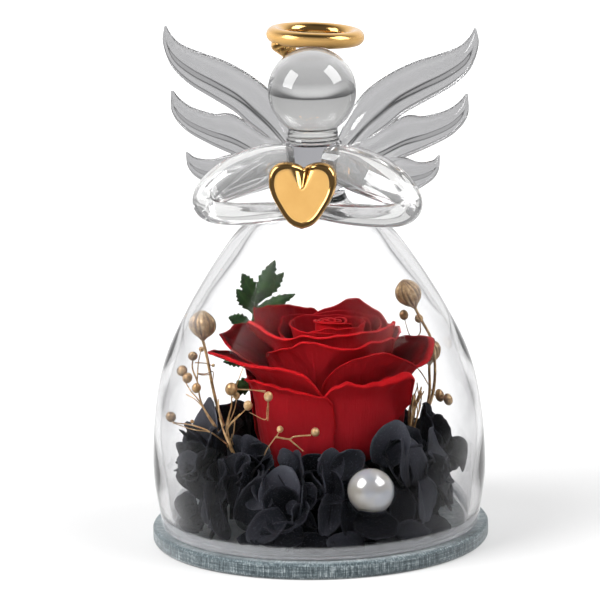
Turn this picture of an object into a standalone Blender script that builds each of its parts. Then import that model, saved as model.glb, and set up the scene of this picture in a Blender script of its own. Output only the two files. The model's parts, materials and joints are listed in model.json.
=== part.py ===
"""Preserved rose with black hydrangea, sealed under a clear glass dome shaped as a winged figure.

All lengths below are millimetres and are turned into metres when a mesh is made.
The origin is the centre of the base's underside, +Z is up and the figure faces -Y.
The flowers stand in their own frame, the bouquet, which is turned a little about Z.
"""

import math

import bpy
import bmesh
from mathutils import Matrix, Vector

MM = 0.001
GAP = 0.3

BASE_RADIUS = 50.0
BASE_HEIGHT = 5.0
BASE_EDGE = 1.2

DOME_STEPS = 28
DOME_OUTSIDE = [(47.2, 5.3), (49.4, 24.0), (46.5, 50.0), (38.0, 70.0), (25.3, 90.0), (17.5, 97.5),
                (12.6, 99.6), (9.6, 103.0), (8.9, 108.0), (8.4, 119.3)]
DOME_INSIDE = [(0.0, 98.2), (9.0, 96.9), (22.3, 88.0), (32.6, 74.5), (40.5, 60.0), (46.0, 40.0),
               (47.0, 24.0), (44.6, 8.0), (43.6, 6.2), (44.6, 5.3)]

HEAD_RADIUS = 13.0
HEAD_CENTRE_Z = 134.6
NECK_RADIUS = 7.6
NECK_TOP_Z = 123.6

HALO_CENTRE = (-1.2, 14.5, 149.2)
HALO_RADIUS = 12.2
HALO_TUBE = 2.3
HALO_PITCH = -4.5
HALO_ROLL = 3.0

WING_PLANE_Y = 6.5
WING_SWEEP = 0.18
WING_HALF_THICKNESS = 1.3

HEART_WIDTH = 20.0
HEART_HEIGHT = 19.0
HEART_LOW_Z = 97.7
HEART_BACK_Y = -16.9
HEART_FRONT_Y = -21.2
HEART_LEAN = 0.17

BOUQUET_TURN = 10.0
FOAM_RADIUS = 25.6
FOAM_TOP_Z = 14.0

ROSE_X = 4.5
ROSE_FOOT_Z = 19.6
PETAL_THICKNESS = 0.6
FLORET_THICKNESS = 0.8
PEARL_RADIUS = 6.85
PEARL_CENTRE = (14.6, -33.0, 21.8)


def clear_scene():
    for thing in list(bpy.data.objects):
        bpy.data.objects.remove(thing, do_unlink=True)


def make_material(name, colour, roughness, metallic=0.0, transmission=0.0, ior=1.45):
    material = bpy.data.materials.new(name)
    material.use_nodes = True
    shader = material.node_tree.nodes["Principled BSDF"]
    shader.inputs["Base Color"].default_value = (*colour, 1.0)
    shader.inputs["Roughness"].default_value = roughness
    shader.inputs["Metallic"].default_value = metallic
    shader.inputs["Transmission Weight"].default_value = transmission
    shader.inputs["IOR"].default_value = ior
    return material


def mix(a, b, t):
    return a + (b - a) * t


def catmull(p0, p1, p2, p3, t):
    return 0.5 * (2 * p1 + (p2 - p0) * t + (2 * p0 - 5 * p1 + 4 * p2 - p3) * t ** 2
                  + (3 * p1 - p0 - 3 * p2 + p3) * t ** 3)


def along(values, t):
    """Smooth curve through evenly spaced numbers or vectors, read at t from 0 to 1."""
    last = len(values) - 1
    spot = min(max(t, 0.0), 1.0) * last
    i = min(int(spot), last - 1)
    before = values[i - 1] if i > 0 else 2 * values[0] - values[1]
    after = values[i + 2] if i + 2 <= last else 2 * values[last] - values[last - 1]
    return catmull(before, values[i], values[i + 1], after, spot - i)


def smooth_path(points, count):
    vectors = [Vector(p) for p in points]
    return [along(vectors, i / (count - 1)) for i in range(count)]


def add_mesh(name, bm, material, parent=None):
    """Turns a bmesh in millimetres into a named object in metres, with its faces pointing out."""
    bmesh.ops.recalc_face_normals(bm, faces=bm.faces[:])
    bmesh.ops.scale(bm, vec=(MM, MM, MM), verts=bm.verts[:])
    mesh = bpy.data.meshes.new(name)
    bm.to_mesh(mesh)
    bm.free()
    mesh.shade_smooth()
    mesh.set_sharp_from_angle(angle=math.radians(40))
    thing = bpy.data.objects.new(name, mesh)
    bpy.context.scene.collection.objects.link(thing)
    mesh.materials.append(material)
    thing.parent = parent
    return thing


def skin_rings(rings, loop=False):
    """Joins rings of points with quads; a ring of one point closes the shape to a tip."""
    bm = bmesh.new()
    rows = [[bm.verts.new(p) for p in ring] for ring in rings]
    pairs = list(zip(rows, rows[1:]))
    if loop:
        pairs.append((rows[-1], rows[0]))
    for lower, upper in pairs:
        count = max(len(lower), len(upper))
        for i in range(count):
            j = (i + 1) % count
            corners = [lower[i % len(lower)], lower[j % len(lower)],
                       upper[j % len(upper)], upper[i % len(upper)]]
            bm.faces.new(list(dict.fromkeys(corners)))
    if not loop:
        for row in (rows[0], rows[-1]):
            if len(row) > 2:
                bm.faces.new(row)
    return bm


def turned(name, profile, steps, material, parent=None, centre=(0.0, 0.0, 0.0), loop=False):
    """Spins a profile of (radius, height) points about Z; a radius of 0 is one point."""
    rings = []
    for radius, height in profile:
        count = 1 if radius < 1e-6 else steps
        rings.append([(centre[0] + radius * math.cos(2 * math.pi * i / steps),
                       centre[1] + radius * math.sin(2 * math.pi * i / steps),
                       centre[2] + height) for i in range(count)])
    return add_mesh(name, skin_rings(rings, loop), material, parent)


def ball_profile(radius, rows):
    """Profile of a ball about its own centre, with so many rings between its two poles."""
    angles = [math.radians(180 * i / (rows + 1) - 90) for i in range(1, rows + 1)]
    return [(0.0, -radius)] + [(radius * math.cos(a), radius * math.sin(a)) for a in angles] + [(0.0, radius)]


def tube_mesh(path, radii, sides, ribs=None):
    """A closed tube along a path; ribs gives a share by which every other side is drawn in."""
    side_axis = (path[1] - path[0]).orthogonal().normalized()
    rings = []
    for i, centre in enumerate(path):
        ahead = path[min(i + 1, len(path) - 1)] - path[max(i - 1, 0)]
        ahead.normalize()
        side_axis = (side_axis - ahead * side_axis.dot(ahead)).normalized()
        other_axis = ahead.cross(side_axis)
        ring = []
        for k in range(sides):
            angle = 2 * math.pi * k / sides
            radius = radii[i] * (1.0 - (ribs[i] if ribs and k % 2 else 0.0))
            ring.append(centre + radius * (math.cos(angle) * side_axis + math.sin(angle) * other_axis))
        rings.append(ring)
    return skin_rings(rings)


def sheet(name, grid, thickness, material, parent=None):
    """A thin curved blade: rows of points, thickened evenly on both sides."""
    bm = bmesh.new()
    rows = [[bm.verts.new(p) for p in row] for row in grid]
    for lower, upper in zip(rows, rows[1:]):
        for i in range(len(lower) - 1):
            bm.faces.new((lower[i], lower[i + 1], upper[i + 1], upper[i]))
    blade = add_mesh(name, bm, material, parent)
    thicken(blade, thickness)
    return blade


def thicken(thing, thickness):
    solid = thing.modifiers.new("thickness", "SOLIDIFY")
    solid.thickness = thickness * MM
    solid.offset = 0.0


def combine(thing, other, operation):
    """Adds or cuts with another object, which stays in the file as a hidden guide."""
    other.hide_render = True
    other.display_type = "WIRE"
    boolean = thing.modifiers.new(operation.lower(), "BOOLEAN")
    boolean.operation = operation
    boolean.solver = "EXACT"
    boolean.object = other


def dome_profile():
    outside = smooth_path([(r, z, 0) for r, z in DOME_OUTSIDE], 17)
    inside = smooth_path([(r, z, 0) for r, z in DOME_INSIDE], 10)
    return [(0.0, DOME_INSIDE[0][1])] + [(p.x, p.y) for p in inside[1:]] \
        + [(p.x, p.y) for p in outside] + [(0.0, DOME_OUTSIDE[-1][1])]


def make_base(material):
    edge = []
    for i in range(3):
        angle = math.radians(-90 + 45 * i)
        edge.append((BASE_RADIUS - BASE_EDGE + BASE_EDGE * math.cos(angle),
                     BASE_EDGE + BASE_EDGE * math.sin(angle)))
    upper = [(r, BASE_HEIGHT - z) for r, z in reversed(edge)]
    turned("base_board", [(0.0, 0.0)] + edge + upper + [(0.0, BASE_HEIGHT)], 32, material)


def make_dome(material):
    turned("glass_dome", dome_profile(), DOME_STEPS, material)


def torso_cutter(material):
    """The torso and shoulders grown by the gap, which cuts the roots of the wings and arms."""
    outside = smooth_path([(r, z, 0) for r, z in DOME_OUTSIDE], 40)
    upper = [(p.x + GAP, p.y) for p in outside if p.y > 90.0]
    profile = [(0.0, upper[0][1])] + upper + [(upper[-1][0], 122.0), (0.0, 122.0)]
    return turned("torso_cutter", profile, DOME_STEPS, material)


def make_head(material):
    """A clear ball on a short neck collar, which stands on the top of the torso."""
    foot = DOME_OUTSIDE[-1][1] + GAP
    neck = [(0.0, foot), (NECK_RADIUS, foot), (NECK_RADIUS + 0.3, foot + 1.2), (NECK_RADIUS, NECK_TOP_Z)]
    start = math.acos(min(1.0, NECK_RADIUS / HEAD_RADIUS))
    ball = []
    rows = 9
    for i in range(1, rows + 1):
        angle = mix(-start, math.pi / 2, i / rows)
        ball.append((HEAD_RADIUS * math.cos(angle), HEAD_CENTRE_Z + HEAD_RADIUS * math.sin(angle)))
    ball[-1] = (0.0, HEAD_CENTRE_Z + HEAD_RADIUS)
    turned("head_ball", neck + ball, 20, material)


def make_halo(material):
    """A fat gilt ring behind the crown of the head, on a cone that stands on the back of the ball."""
    turn = Matrix.Translation(HALO_CENTRE) @ Matrix.Rotation(math.radians(HALO_ROLL), 4, "Y") \
        @ Matrix.Rotation(math.radians(HALO_PITCH), 4, "X")
    rings = []
    for i in range(24):
        around = 2 * math.pi * i / 24
        ring = []
        for k in range(8):
            angle = 2 * math.pi * k / 8
            reach = HALO_RADIUS + HALO_TUBE * math.cos(angle)
            point = Vector((reach * math.cos(around), reach * math.sin(around), HALO_TUBE * math.sin(angle)))
            ring.append(turn @ point)
        rings.append(ring)
    halo = add_mesh("halo_ring", skin_rings(rings, loop=True), material)
    path = smooth_path([(-7.4, 8.4, 142.2), (-8.8, 8.4, 145.8), (-10.8, 8.2, 149.8)], 5)
    stem = add_mesh("halo_stem_guide", tube_mesh(path, [1.5, 1.8, 2.5, 3.2, 2.0], 8), material)
    ball = turned("halo_ball_cutter", ball_profile(HEAD_RADIUS + GAP, 11), 36, material,
                  centre=(0.0, 0.0, HEAD_CENTRE_Z))
    combine(halo, stem, "UNION")
    combine(halo, ball, "DIFFERENCE")


FEATHERS = {
    "upper": [((3.8, 114.0), (6.0, 110.5)), ((6.4, 120.0), (9.6, 113.8)), ((10.2, 127.8), (15.8, 118.8)),
              ((14.7, 133.5), (20.9, 122.3)), ((21.4, 138.2), (25.5, 126.2)), ((28.4, 141.5), (32.0, 129.8)),
              ((35.3, 143.6), (39.8, 134.2)), ((41.4, 145.8), (45.0, 139.4)), ((44.6, 148.6), (47.3, 146.2)),
              ((46.1, 151.2), (46.7, 151.0))],
    "middle": [((5.0, 116.0), (5.0, 109.6)), ((15.0, 119.4), (16.0, 109.6)), ((25.4, 125.4), (25.2, 112.9)),
               ((31.5, 125.4), (34.0, 116.5)), ((38.0, 127.0), (40.6, 120.2)), ((41.8, 129.4), (44.4, 125.2)),
               ((43.9, 131.8), (44.6, 131.6))],
    "lower": [((5.0, 113.0), (5.0, 108.6)), ((16.0, 112.7), (16.0, 106.4)), ((25.0, 113.4), (27.0, 102.6)),
              ((31.0, 111.6), (34.4, 105.2)), ((35.6, 111.9), (37.6, 108.6)), ((37.7, 113.4), (38.3, 113.3))],
}
RIB_SECTION = [(0.0, 0.0), (0.14, -1.0), (0.32, -0.45), (0.5, -0.9), (0.68, -0.45), (0.86, -1.0),
               (1.0, 0.0), (0.78, 0.85), (0.22, 0.85)]
# The hand-made wings are not quite alike: each feather's tip sits this far to the left of its mirror place.
FEATHER_SHIFT = {"upper": 0.0, "middle": 0.5, "lower": 2.6}


def feather_mesh(feather, side, lift):
    """One feather: pairs of upper and lower edge points, with rims, a rib and two channels in front."""
    rings = []
    stations = FEATHERS[feather]
    reach = stations[-1][0][0]
    for upper, lower in stations:
        top = Vector((upper[0], 0.0, upper[1]))
        low = Vector((lower[0], 0.0, lower[1]))
        depth = min(WING_HALF_THICKNESS, 0.2 * (top - low).length + 0.1)
        ring = []
        for share, out in RIB_SECTION:
            point = top.lerp(low, share)
            point.y = WING_PLANE_Y + WING_SWEEP * point.x + depth * out + lift
            shift = FEATHER_SHIFT[feather] * (point.x / reach) ** 2
            ring.append(Vector((side * point.x - shift, point.y, point.z)))
        rings.append(ring)
    return skin_rings(rings)


def make_wing(name, side, material, cutter):
    wing = add_mesh(name, feather_mesh("upper", side, 0.0), material)
    for feather, lift in (("middle", -0.15), ("lower", 0.12)):
        guide = add_mesh(name + "_" + feather + "_guide", feather_mesh(feather, side, lift), material)
        combine(wing, guide, "UNION")
    combine(wing, cutter, "DIFFERENCE")


ARM_ROUTE = [(4.5, -4.5, 114.4), (9.5, -5.3, 113.8), (15.0, -6.4, 112.5), (21.5, -8.2, 110.2),
             (27.0, -10.0, 107.2), (30.0, -11.4, 103.7), (28.3, -12.8, 101.1), (23.0, -13.4, 100.2),
             (17.5, -13.8, 100.4), (11.0, -14.2, 101.0), (5.0, -14.9, 101.7), (0.35, -15.2, 102.2)]
ARM_RADII = [5.0, 6.1, 6.5, 6.2, 5.2, 4.2, 3.6, 3.4, 3.3, 3.1, 2.5, 2.2]


def make_arm(name, side, material, cutter):
    """A clear rod from the shoulder out, round the elbow and back to the heart."""
    count = 13
    path = smooth_path([(side * x, y, z) for x, y, z in ARM_ROUTE], count)
    radii = [along(ARM_RADII, i / (count - 1)) for i in range(count)]
    arm = add_mesh(name, tube_mesh(path, radii, 8), material)
    combine(arm, cutter, "DIFFERENCE")


# Right half of the heart from its tip to its notch, in half widths and heights.
HEART_HALF = [(0.0, 0.0), (0.27, 0.05), (0.48, 0.145), (0.68, 0.3), (0.86, 0.46), (0.97, 0.61), (1.0, 0.74),
              (0.95, 0.87), (0.79, 0.965), (0.54, 1.0), (0.3, 0.985), (0.12, 0.95), (0.0, 0.9)]
HEART_CREASE = 5.6


def heart_outline():
    """The whole heart as a closed ring of points, 1 wide and 1 tall, with its tip at 0."""
    right = [(0.5 * x, z) for x, z in HEART_HALF]
    left = [(-x, z) for x, z in right[-2:0:-1]]
    return right + left


def make_heart(material):
    """Flat front and back with a rounded edge and a crease below the notch, held in front of the hands."""
    outline = heart_outline()
    middle_z = 0.55
    layers = [(0.86, 0.0), (1.0, 0.22), (1.0, 0.62), (0.95, 0.88), (0.85, 1.0)]
    rings = []
    for size, share in layers:
        y = mix(HEART_BACK_Y, HEART_FRONT_Y, share)
        ring = []
        for x, z in outline:
            rise = HEART_HEIGHT * size * (z - middle_z)
            ring.append((HEART_WIDTH * size * x, y + HEART_LEAN * rise,
                         HEART_LOW_Z + HEART_HEIGHT * middle_z + rise))
        rings.append(ring)
    heart = add_mesh("heart", skin_rings(rings), material)
    top = Vector((0.0, HEART_FRONT_Y + 1.2, HEART_LOW_Z + HEART_HEIGHT + 0.6))
    path = [top, top - Vector((0.0, 1.0, HEART_CREASE + 1.0))]
    groove = add_mesh("heart_crease_guide", tube_mesh(path, [1.7, 0.1], 6), material)
    combine(heart, groove, "DIFFERENCE")


def cup_radius(z):
    """Radius of the outermost petal's face above the rose's axis, by height."""
    knots = [(16.0, 14.0), (20.0, 17.0), (26.0, 20.6), (32.0, 22.6), (40.0, 23.8), (48.0, 25.0), (54.0, 27.6),
             (60.0, 31.0), (66.0, 33.6), (74.0, 36.0)]
    for (z0, r0), (z1, r1) in zip(knots, knots[1:]):
        if z <= z1:
            return mix(r0, r1, (z - z0) / (z1 - z0))
    return knots[-1][1]


def petal_foot(layer):
    """Height where a petal starts on the cone of the receptacle; inner petals start higher."""
    return ROSE_FOOT_Z + GAP + 0.5 + 8.5 * (1.0 - layer)


# Each petal: first and last angle, first and last layer, rim heights from first to last angle,
# how far the rim rolls outwards along it, and how far the blade swells below its rim.
PETALS = {
    "outer_front_left": (-196, -90, 0.97, 1.0, [48, 49, 50, 50, 48], [0.0, 1.2, 1.0, 0.8, 0.3], 0.0),
    "outer_front_right": (-101, -18, 0.925, 1.0, [52, 53.5, 53.5, 52, 50], [0.5, 1.5, 2.5, 3.0, 0.8], 0.0),
    "outer_right": (-25, 58, 0.935, 0.91, [48, 50.5, 51, 50, 48], [0.0, 0.4, 0.6, 0.4, 0.0], 0.0),
    "outer_back_right": (42, 122, 1.0, 0.965, [48, 52, 53, 52, 50], [0.0, 1.0, 2.0, 2.0, 0.4], 0.0),
    "outer_back_left": (108, 167, 1.07, 1.05, [48, 52, 54, 52, 48], [1.5, 2.5, 3.0, 2.0, 0.0], 0.0),
    "spread_left": (154, 264, 0.91, 0.86, [56, 56.0, 56.2, 57, 52], [1.0, 9.5, 2.5, 1.5, 0.6], 0.0),
    "spread_right": (-64, 60, 0.86, 0.845, [61, 53.6, 56.6, 58.2, 58], [0.5, 2.0, 3.8, 3.4, 0.2], 0.0),
    "spread_back": (50, 146, 0.77, 0.85, [58, 61, 62, 61, 58], [0.5, 2.5, 3.0, 2.5, 0.8], 0.0),
    "cup_left": (118, 238, 0.70, 0.75, [59, 66, 70, 66, 60], [0.2, 0.0, 0.0, 0.4, 0.6], 9.0),
    "cup_front": (-150, -34, 0.66, 0.65, [60, 64.5, 63.6, 61.5, 65], [1.0, 0.8, 0.8, 1.2, 1.0], 0.0),
    "cup_right": (-40, 62, 0.585, 0.62, [61, 61, 62, 62, 62], [0.0, 0.4, 0.6, 0.6, 0.3], 0.0),
    "cup_back_right": (20, 120, 0.535, 0.55, [61.5, 63.8, 68.4, 65.6, 64], [0.4, 1.8, 0.6, 0.4, 0.0], 0.0),
    "cup_back_left": (96, 206, 0.63, 0.58, [65.5, 67.3, 69.1, 70.5, 66], [0.2, 0.4, 0.5, 0.6, 0.4], 0.0),
    "inner_front": (-182, -46, 0.50, 0.52, [62, 64.5, 64.5, 65, 64], [0.6, 0.8, 0.8, 0.8, 0.5], 0.0),
    "inner_back": (-58, 160, 0.43, 0.44, [64, 65.5, 66, 66.5, 64], [0.0, 0.2, 0.0, 0.2, 0.2], 0.0),
    "heart_left": (40, 246, 0.36, 0.35, [64, 66, 67, 66.5, 64], [0.0, 0.2, 0.2, 0.2, 0.0], 0.0),
    "heart_right": (-128, 56, 0.27, 0.29, [64, 66, 66, 66.5, 64], [0.0, 0.2, 0.2, 0.2, 0.0], 0.0),
}
# Heights of a petal's rows of points, as shares from its foot to its rim.
PETAL_ROWS = [0.0, 0.3, 0.58, 0.77, 0.9, 1.0]


def petal_point(spec, u, v):
    """A point of a petal, u from its first to its last edge and v from its foot to its rim."""
    first, last, layer0, layer1, rims, rolls, swell = spec
    angle = math.radians(mix(first, last, u))
    layer = mix(layer0, layer1, u)
    foot = petal_foot(layer)
    rim = along(rims, u) - 9.0 * abs(2 * u - 1) ** 7
    z = mix(foot, rim, v)
    roll = along(rolls, u) * max(0.0, 1.0 - (rim - z) / 7.0) ** 2
    belly = math.sin(math.pi * min(max((z - rim + 20.0) / 20.0, 0.0), 1.0)) * math.sin(math.pi * u) ** 2
    radius = layer * cup_radius(z) + roll + swell * belly
    return (ROSE_X + radius * math.cos(angle), radius * math.sin(angle), z)


def make_petals(material, bouquet):
    for name, spec in PETALS.items():
        span = abs(spec[1] - spec[0])
        columns = max(6, round(span / 20))
        grid = [[petal_point(spec, c / columns, v) for c in range(columns + 1)] for v in PETAL_ROWS]
        sheet("petal_" + name, grid, PETAL_THICKNESS, material, bouquet)


def make_rose_heart(petal_material, green_material, bouquet):
    """The closed bud in the middle, and the receptacle that every petal stands on."""
    foot = petal_foot(0.0)
    bud = [(0.0, foot), (3.2, foot), (4.6, 34.0), (5.6, 46.0), (6.2, 56.0), (5.6, 62.0), (3.9, 65.6),
           (1.6, 66.6), (0.0, 66.0)]
    turned("rose_bud", bud, 12, petal_material, bouquet, centre=(ROSE_X, 0.0, 0.0))
    cone = [(0.0, FOAM_TOP_Z + GAP), (7.0, FOAM_TOP_Z + GAP), (12.0, 17.0), (17.6, ROSE_FOOT_Z)]
    for layer in (0.8, 0.5, 0.2):
        foot = petal_foot(layer) - GAP - 0.15
        cone.append((layer * cup_radius(foot), foot))
    cone.append((0.0, petal_foot(0.0) - GAP))
    turned("rose_receptacle", cone, 18, green_material, bouquet, centre=(ROSE_X, 0.0, 0.0))


def make_foam(material, bouquet):
    profile = [(0.0, BASE_HEIGHT + GAP), (FOAM_RADIUS, BASE_HEIGHT + GAP), (FOAM_RADIUS, FOAM_TOP_Z - 1.0),
               (FOAM_RADIUS - 1.0, FOAM_TOP_Z), (0.0, FOAM_TOP_Z)]
    turned("floral_foam", profile, 24, material, bouquet)


def inner_skirt(z):
    """Radius of the inner layer of hydrangea by height, close round the rose."""
    return 26.5 + 0.008 * max(0.0, z - 12.0) ** 2 + 0.1 * max(0.0, z - 12.0)


def middle_skirt(z):
    """Radius of the layer between the inner and the outer one."""
    return inner_skirt(z) + 4.6


def outer_skirt(z):
    """Radius of the outer layer, which bows in at its middle and stays clear of the glass."""
    return 39.3 + 0.009 * (z - 21.0) ** 2


# Each floret: angle, height of its centre, reach of its four petals and turn of the cross.
INNER_FLORETS = [(-176, 31.0, 12.5, 40), (-131, 27.0, 12.0, 50), (-86.5, 24.5, 11.0, 44),
                 (-41.5, 27.0, 12.5, 48), (3.5, 29.5, 12.5, 42), (48.5, 27.0, 11.5, 47),
                 (93.5, 26.0, 11.5, 43), (138.5, 28.0, 12.0, 50)]
MIDDLE_FLORETS = [(-160, 28.0, 13.0, 46), (-123, 23.0, 11.5, 40), (-92, 17.0, 9.5, 50),
                  (-32, 25.0, 12.5, 43), (8, 26.0, 12.5, 47), (120, 24.0, 12.5, 45)]
OUTER_FLORETS = [(-184, 25.0, 13.5, 46), (-144, 22.0, 13.5, 42), (-104, 17.0, 13.5, 48),
                 (-24, 19.0, 13.5, 45), (16, 24.0, 13.5, 43), (56, 21.0, 13.0, 47),
                 (96, 19.0, 13.0, 44), (136, 20.0, 13.0, 46)]


def floret_point(spec, skirt, reach, turn):
    """A point of a floret that lies on its skirt, reach from the centre in the direction turn."""
    angle, height, size, roll = spec
    z = height + reach * math.sin(turn)
    radius = skirt(height)
    around = math.radians(angle) + reach * math.cos(turn) / radius
    cup = 0.9 * (reach / size) ** 2 - 0.5
    r = skirt(z) + cup
    return (r * math.cos(around), r * math.sin(around), max(z, BASE_HEIGHT + 1.2))


def make_floret(name, spec, skirt, material, bouquet):
    """Four cupped petals in a cross, on a stalk that stands on the base."""
    steps = 16
    bm = bmesh.new()
    centre = bm.verts.new(floret_point(spec, skirt, 0.0, 0.0))
    edge = []
    for j in range(steps):
        turn = 2 * math.pi * (j + 0.5) / steps
        lobe = abs(math.cos(2 * (turn - math.radians(spec[3])))) ** 0.7
        edge.append(bm.verts.new(floret_point(spec, skirt, spec[2] * mix(0.42, 1.0, lobe), turn)))
    for j in range(steps):
        bm.faces.new((centre, edge[j], edge[(j + 1) % steps]))
    stalk_at = 3 * steps // 4
    left, right = edge[stalk_at - 1], edge[stalk_at]
    foot_z = BASE_HEIGHT + GAP + 0.1
    for z in (mix(left.co.z, foot_z, 0.5), foot_z):
        angle = math.radians(spec[0])
        r = skirt(z)
        ends = [bm.verts.new((r * math.cos(angle + s), r * math.sin(angle + s), z)) for s in (-0.022, 0.022)]
        bm.faces.new((left, right, ends[1], ends[0]))
        left, right = ends
    floret = add_mesh(name, bm, material, bouquet)
    thicken(floret, FLORET_THICKNESS)


def make_florets(material, bouquet):
    layers = (("inner", INNER_FLORETS, inner_skirt), ("middle", MIDDLE_FLORETS, middle_skirt),
              ("outer", OUTER_FLORETS, outer_skirt))
    for word, florets, skirt in layers:
        for i, spec in enumerate(florets):
            make_floret("hydrangea_%s_%d" % (word, i + 1), spec, skirt, material, bouquet)


def make_pearl(material, bouquet):
    """A pearl on a short pin that is stuck into the side of the foam."""
    pearl = turned("pearl", ball_profile(PEARL_RADIUS, 6), 14, material, bouquet, centre=PEARL_CENTRE)
    away = Vector((PEARL_CENTRE[0], PEARL_CENTRE[1], 0.0)).normalized()
    foot = away * (FOAM_RADIUS + GAP)
    foot.z = FOAM_TOP_Z - 1.6
    path = [foot, foot.lerp(Vector(PEARL_CENTRE), 0.5), Vector(PEARL_CENTRE)]
    pin = add_mesh("pearl_pin_guide", tube_mesh(path, [0.5, 0.5, 0.5], 6), material, bouquet)
    combine(pearl, pin, "UNION")


POD_PROFILE = [(0.1, 2.2), (0.28, 3.5), (0.5, 3.9), (0.72, 3.3), (0.9, 1.9), (1.0, 0.5)]
POD_LENGTH = 9.4
PODS = {
    "seed_pod_left": [(-22.0, -9.0, FOAM_TOP_Z + GAP), (-25.5, -9.0, 30.0), (-31.0, -5.0, 46.0),
                      (-33.6, -1.0, 59.5)],
    "seed_pod_right_upper": [(21.9, 9.8, FOAM_TOP_Z + GAP), (28.2, 12.6, 27.8), (35.5, 14.0, 42.0),
                             (35.0, 11.5, 53.0), (29.5, 7.8, 65.6)],
    "seed_pod_right_lower": [(21.4, 12.0, FOAM_TOP_Z + GAP), (27.0, 14.8, 26.5), (33.5, 19.0, 37.0),
                             (34.6, 17.6, 46.0)],
}
POD_TIPS = {
    "seed_pod_left": (-33.2, -0.6, 70.0),
    "seed_pod_right_upper": (25.4, 5.6, 76.0),
    "seed_pod_right_lower": (34.2, 15.6, 56.4),
}


def make_pods(material, bouquet):
    """Ribbed dry seed heads, each swelling from its own thin stem."""
    for name, route in PODS.items():
        path = smooth_path(route, 7)
        radii = [0.5] * 7
        ribs = [0.0] * 7
        start = Vector(route[-1])
        axis = (Vector(POD_TIPS[name]) - start).normalized() * POD_LENGTH
        for share, radius in POD_PROFILE:
            path.append(start + axis * share)
            radii.append(radius)
            ribs.append(0.12 if share < 0.95 else 0.0)
        add_mesh(name, tube_mesh(path, radii, 8, ribs), material, bouquet)


TWIG = 0.35
# Each sprig: the route of its main stem, then its side twigs; every route ends in a seed ball.
SPRIGS = {
    "gypsophila_left": [
        [(-19.0, -15.0, FOAM_TOP_Z + GAP), (-22.5, -15.5, 30.0), (-29.5, -12.0, 44.0), (-35.2, -9.0, 57.0)],
        [(-27.0, -13.4, 38.6), (-32.0, -13.5, 44.0), (-38.6, -10.0, 51.8)],
        [(-23.4, -15.2, 33.0), (-29.5, -17.0, 39.8), (-36.6, -14.0, 41.4), (-41.8, -6.5, 40.0)],
        [(-22.0, -15.6, 28.0), (-24.0, -20.0, 38.0), (-23.4, -23.5, 49.0)],
        [(-23.8, -19.0, 36.0), (-20.0, -23.0, 42.0), (-14.6, -24.8, 49.0)],
    ],
    "gypsophila_front": [
        [(-12.0, -20.5, FOAM_TOP_Z + GAP), (-13.6, -23.4, 27.0), (-13.2, -27.0, 36.0),
         (-8.6, -27.5, 37.2), (-1.4, -27.5, 39.2)],
        [(-8.6, -27.5, 37.2), (-6.4, -28.4, 35.6), (-4.4, -29.4, 33.6)],
        [(-13.4, -25.6, 32.8), (-12.4, -27.2, 36.4), (-11.4, -27.4, 40.2)],
    ],
    "gypsophila_right": [
        [(8.0, 23.2, FOAM_TOP_Z + GAP), (9.6, 28.0, 25.5), (12.5, 33.0, 36.0), (22.0, 28.5, 46.0),
         (30.5, 19.5, 56.0), (31.0, 12.5, 62.6)],
        [(23.0, 27.8, 47.0), (31.0, 25.0, 43.0), (38.4, 15.0, 39.6)],
    ],
}
BALL_SHAPE = [(0.0, 0.45), (0.25, 1.0), (0.6, 1.0), (0.9, 0.5)]
BALL_SIZE = 1.25


def twig_mesh(route, ball):
    """A thin twig that swells into a seed ball past the end of its route."""
    count = 3 + 2 * (len(route) - 2)
    path = smooth_path(route, count)
    radii = [TWIG] * count
    ahead = (path[-1] - path[-2]).normalized()
    tip = path[-1]
    for share, radius in BALL_SHAPE:
        path.append(tip + ahead * (0.2 + 2.0 * ball * share))
        radii.append(ball * radius)
    return tube_mesh(path, radii, 4)


def make_sprigs(material, bouquet):
    for name, routes in SPRIGS.items():
        sprig = add_mesh(name, twig_mesh(routes[0], BALL_SIZE), material, bouquet)
        for i, route in enumerate(routes[1:]):
            twig = twig_mesh(route, 0.9 * BALL_SIZE)
            guide = add_mesh("%s_twig_%d_guide" % (name, i + 1), twig, material, bouquet)
            combine(sprig, guide, "UNION")


LEAF_STEM = [(-4.0, 22.0, FOAM_TOP_Z + GAP + 0.4), (-14.0, 25.5, 32.0), (-20.5, 25.0, 50.0),
             (-19.2, 21.0, 62.0), (-17.2, 16.5, 72.0)]
# Each lobe: the height where it leaves the stem, its tip, and its width.
LEAF_LOBES = [(69.5, (-12.3, 15.0, 80.1), 5.6), (68.5, (-22.5, 15.5, 76.7), 5.6),
              (68.5, (-9.7, 18.0, 75.8), 5.2), (65.0, (-24.2, 16.6, 71.8), 5.2),
              (65.4, (-6.4, 20.6, 68.8), 4.2), (61.0, (-26.6, 20.0, 62.8), 4.6),
              (54.0, (-27.4, 20.3, 54.8), 5.0), (47.0, (-29.2, 22.8, 45.4), 5.2),
              (40.0, (-27.8, 22.2, 37.2), 4.6)]


def point_at_height(path, z):
    """The point of a rising path at a given height."""
    for low, high in zip(path, path[1:]):
        if z <= high.z:
            return low.lerp(high, (z - low.z) / (high.z - low.z))
    return path[-1]


def lobe_mesh(start, tip, width):
    """A pointed lobe, notched on both sides, as a thin closed blade."""
    axis = Vector(tip) - start
    across = axis.cross(Vector((0.0, 1.0, 0.0))).normalized()
    outline = [(0.0, 0.14), (0.34, 0.46), (0.44, 0.32), (0.66, 0.46)]
    side_a = [start + axis * s + across * width * w for s, w in outline]
    side_b = [start + axis * s - across * width * w for s, w in reversed(outline)]
    ring = side_a + [start + axis] + side_b
    half = Vector((0.0, 0.35, 0.0))
    return skin_rings([[p - half for p in ring], [p + half for p in ring]])


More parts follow.
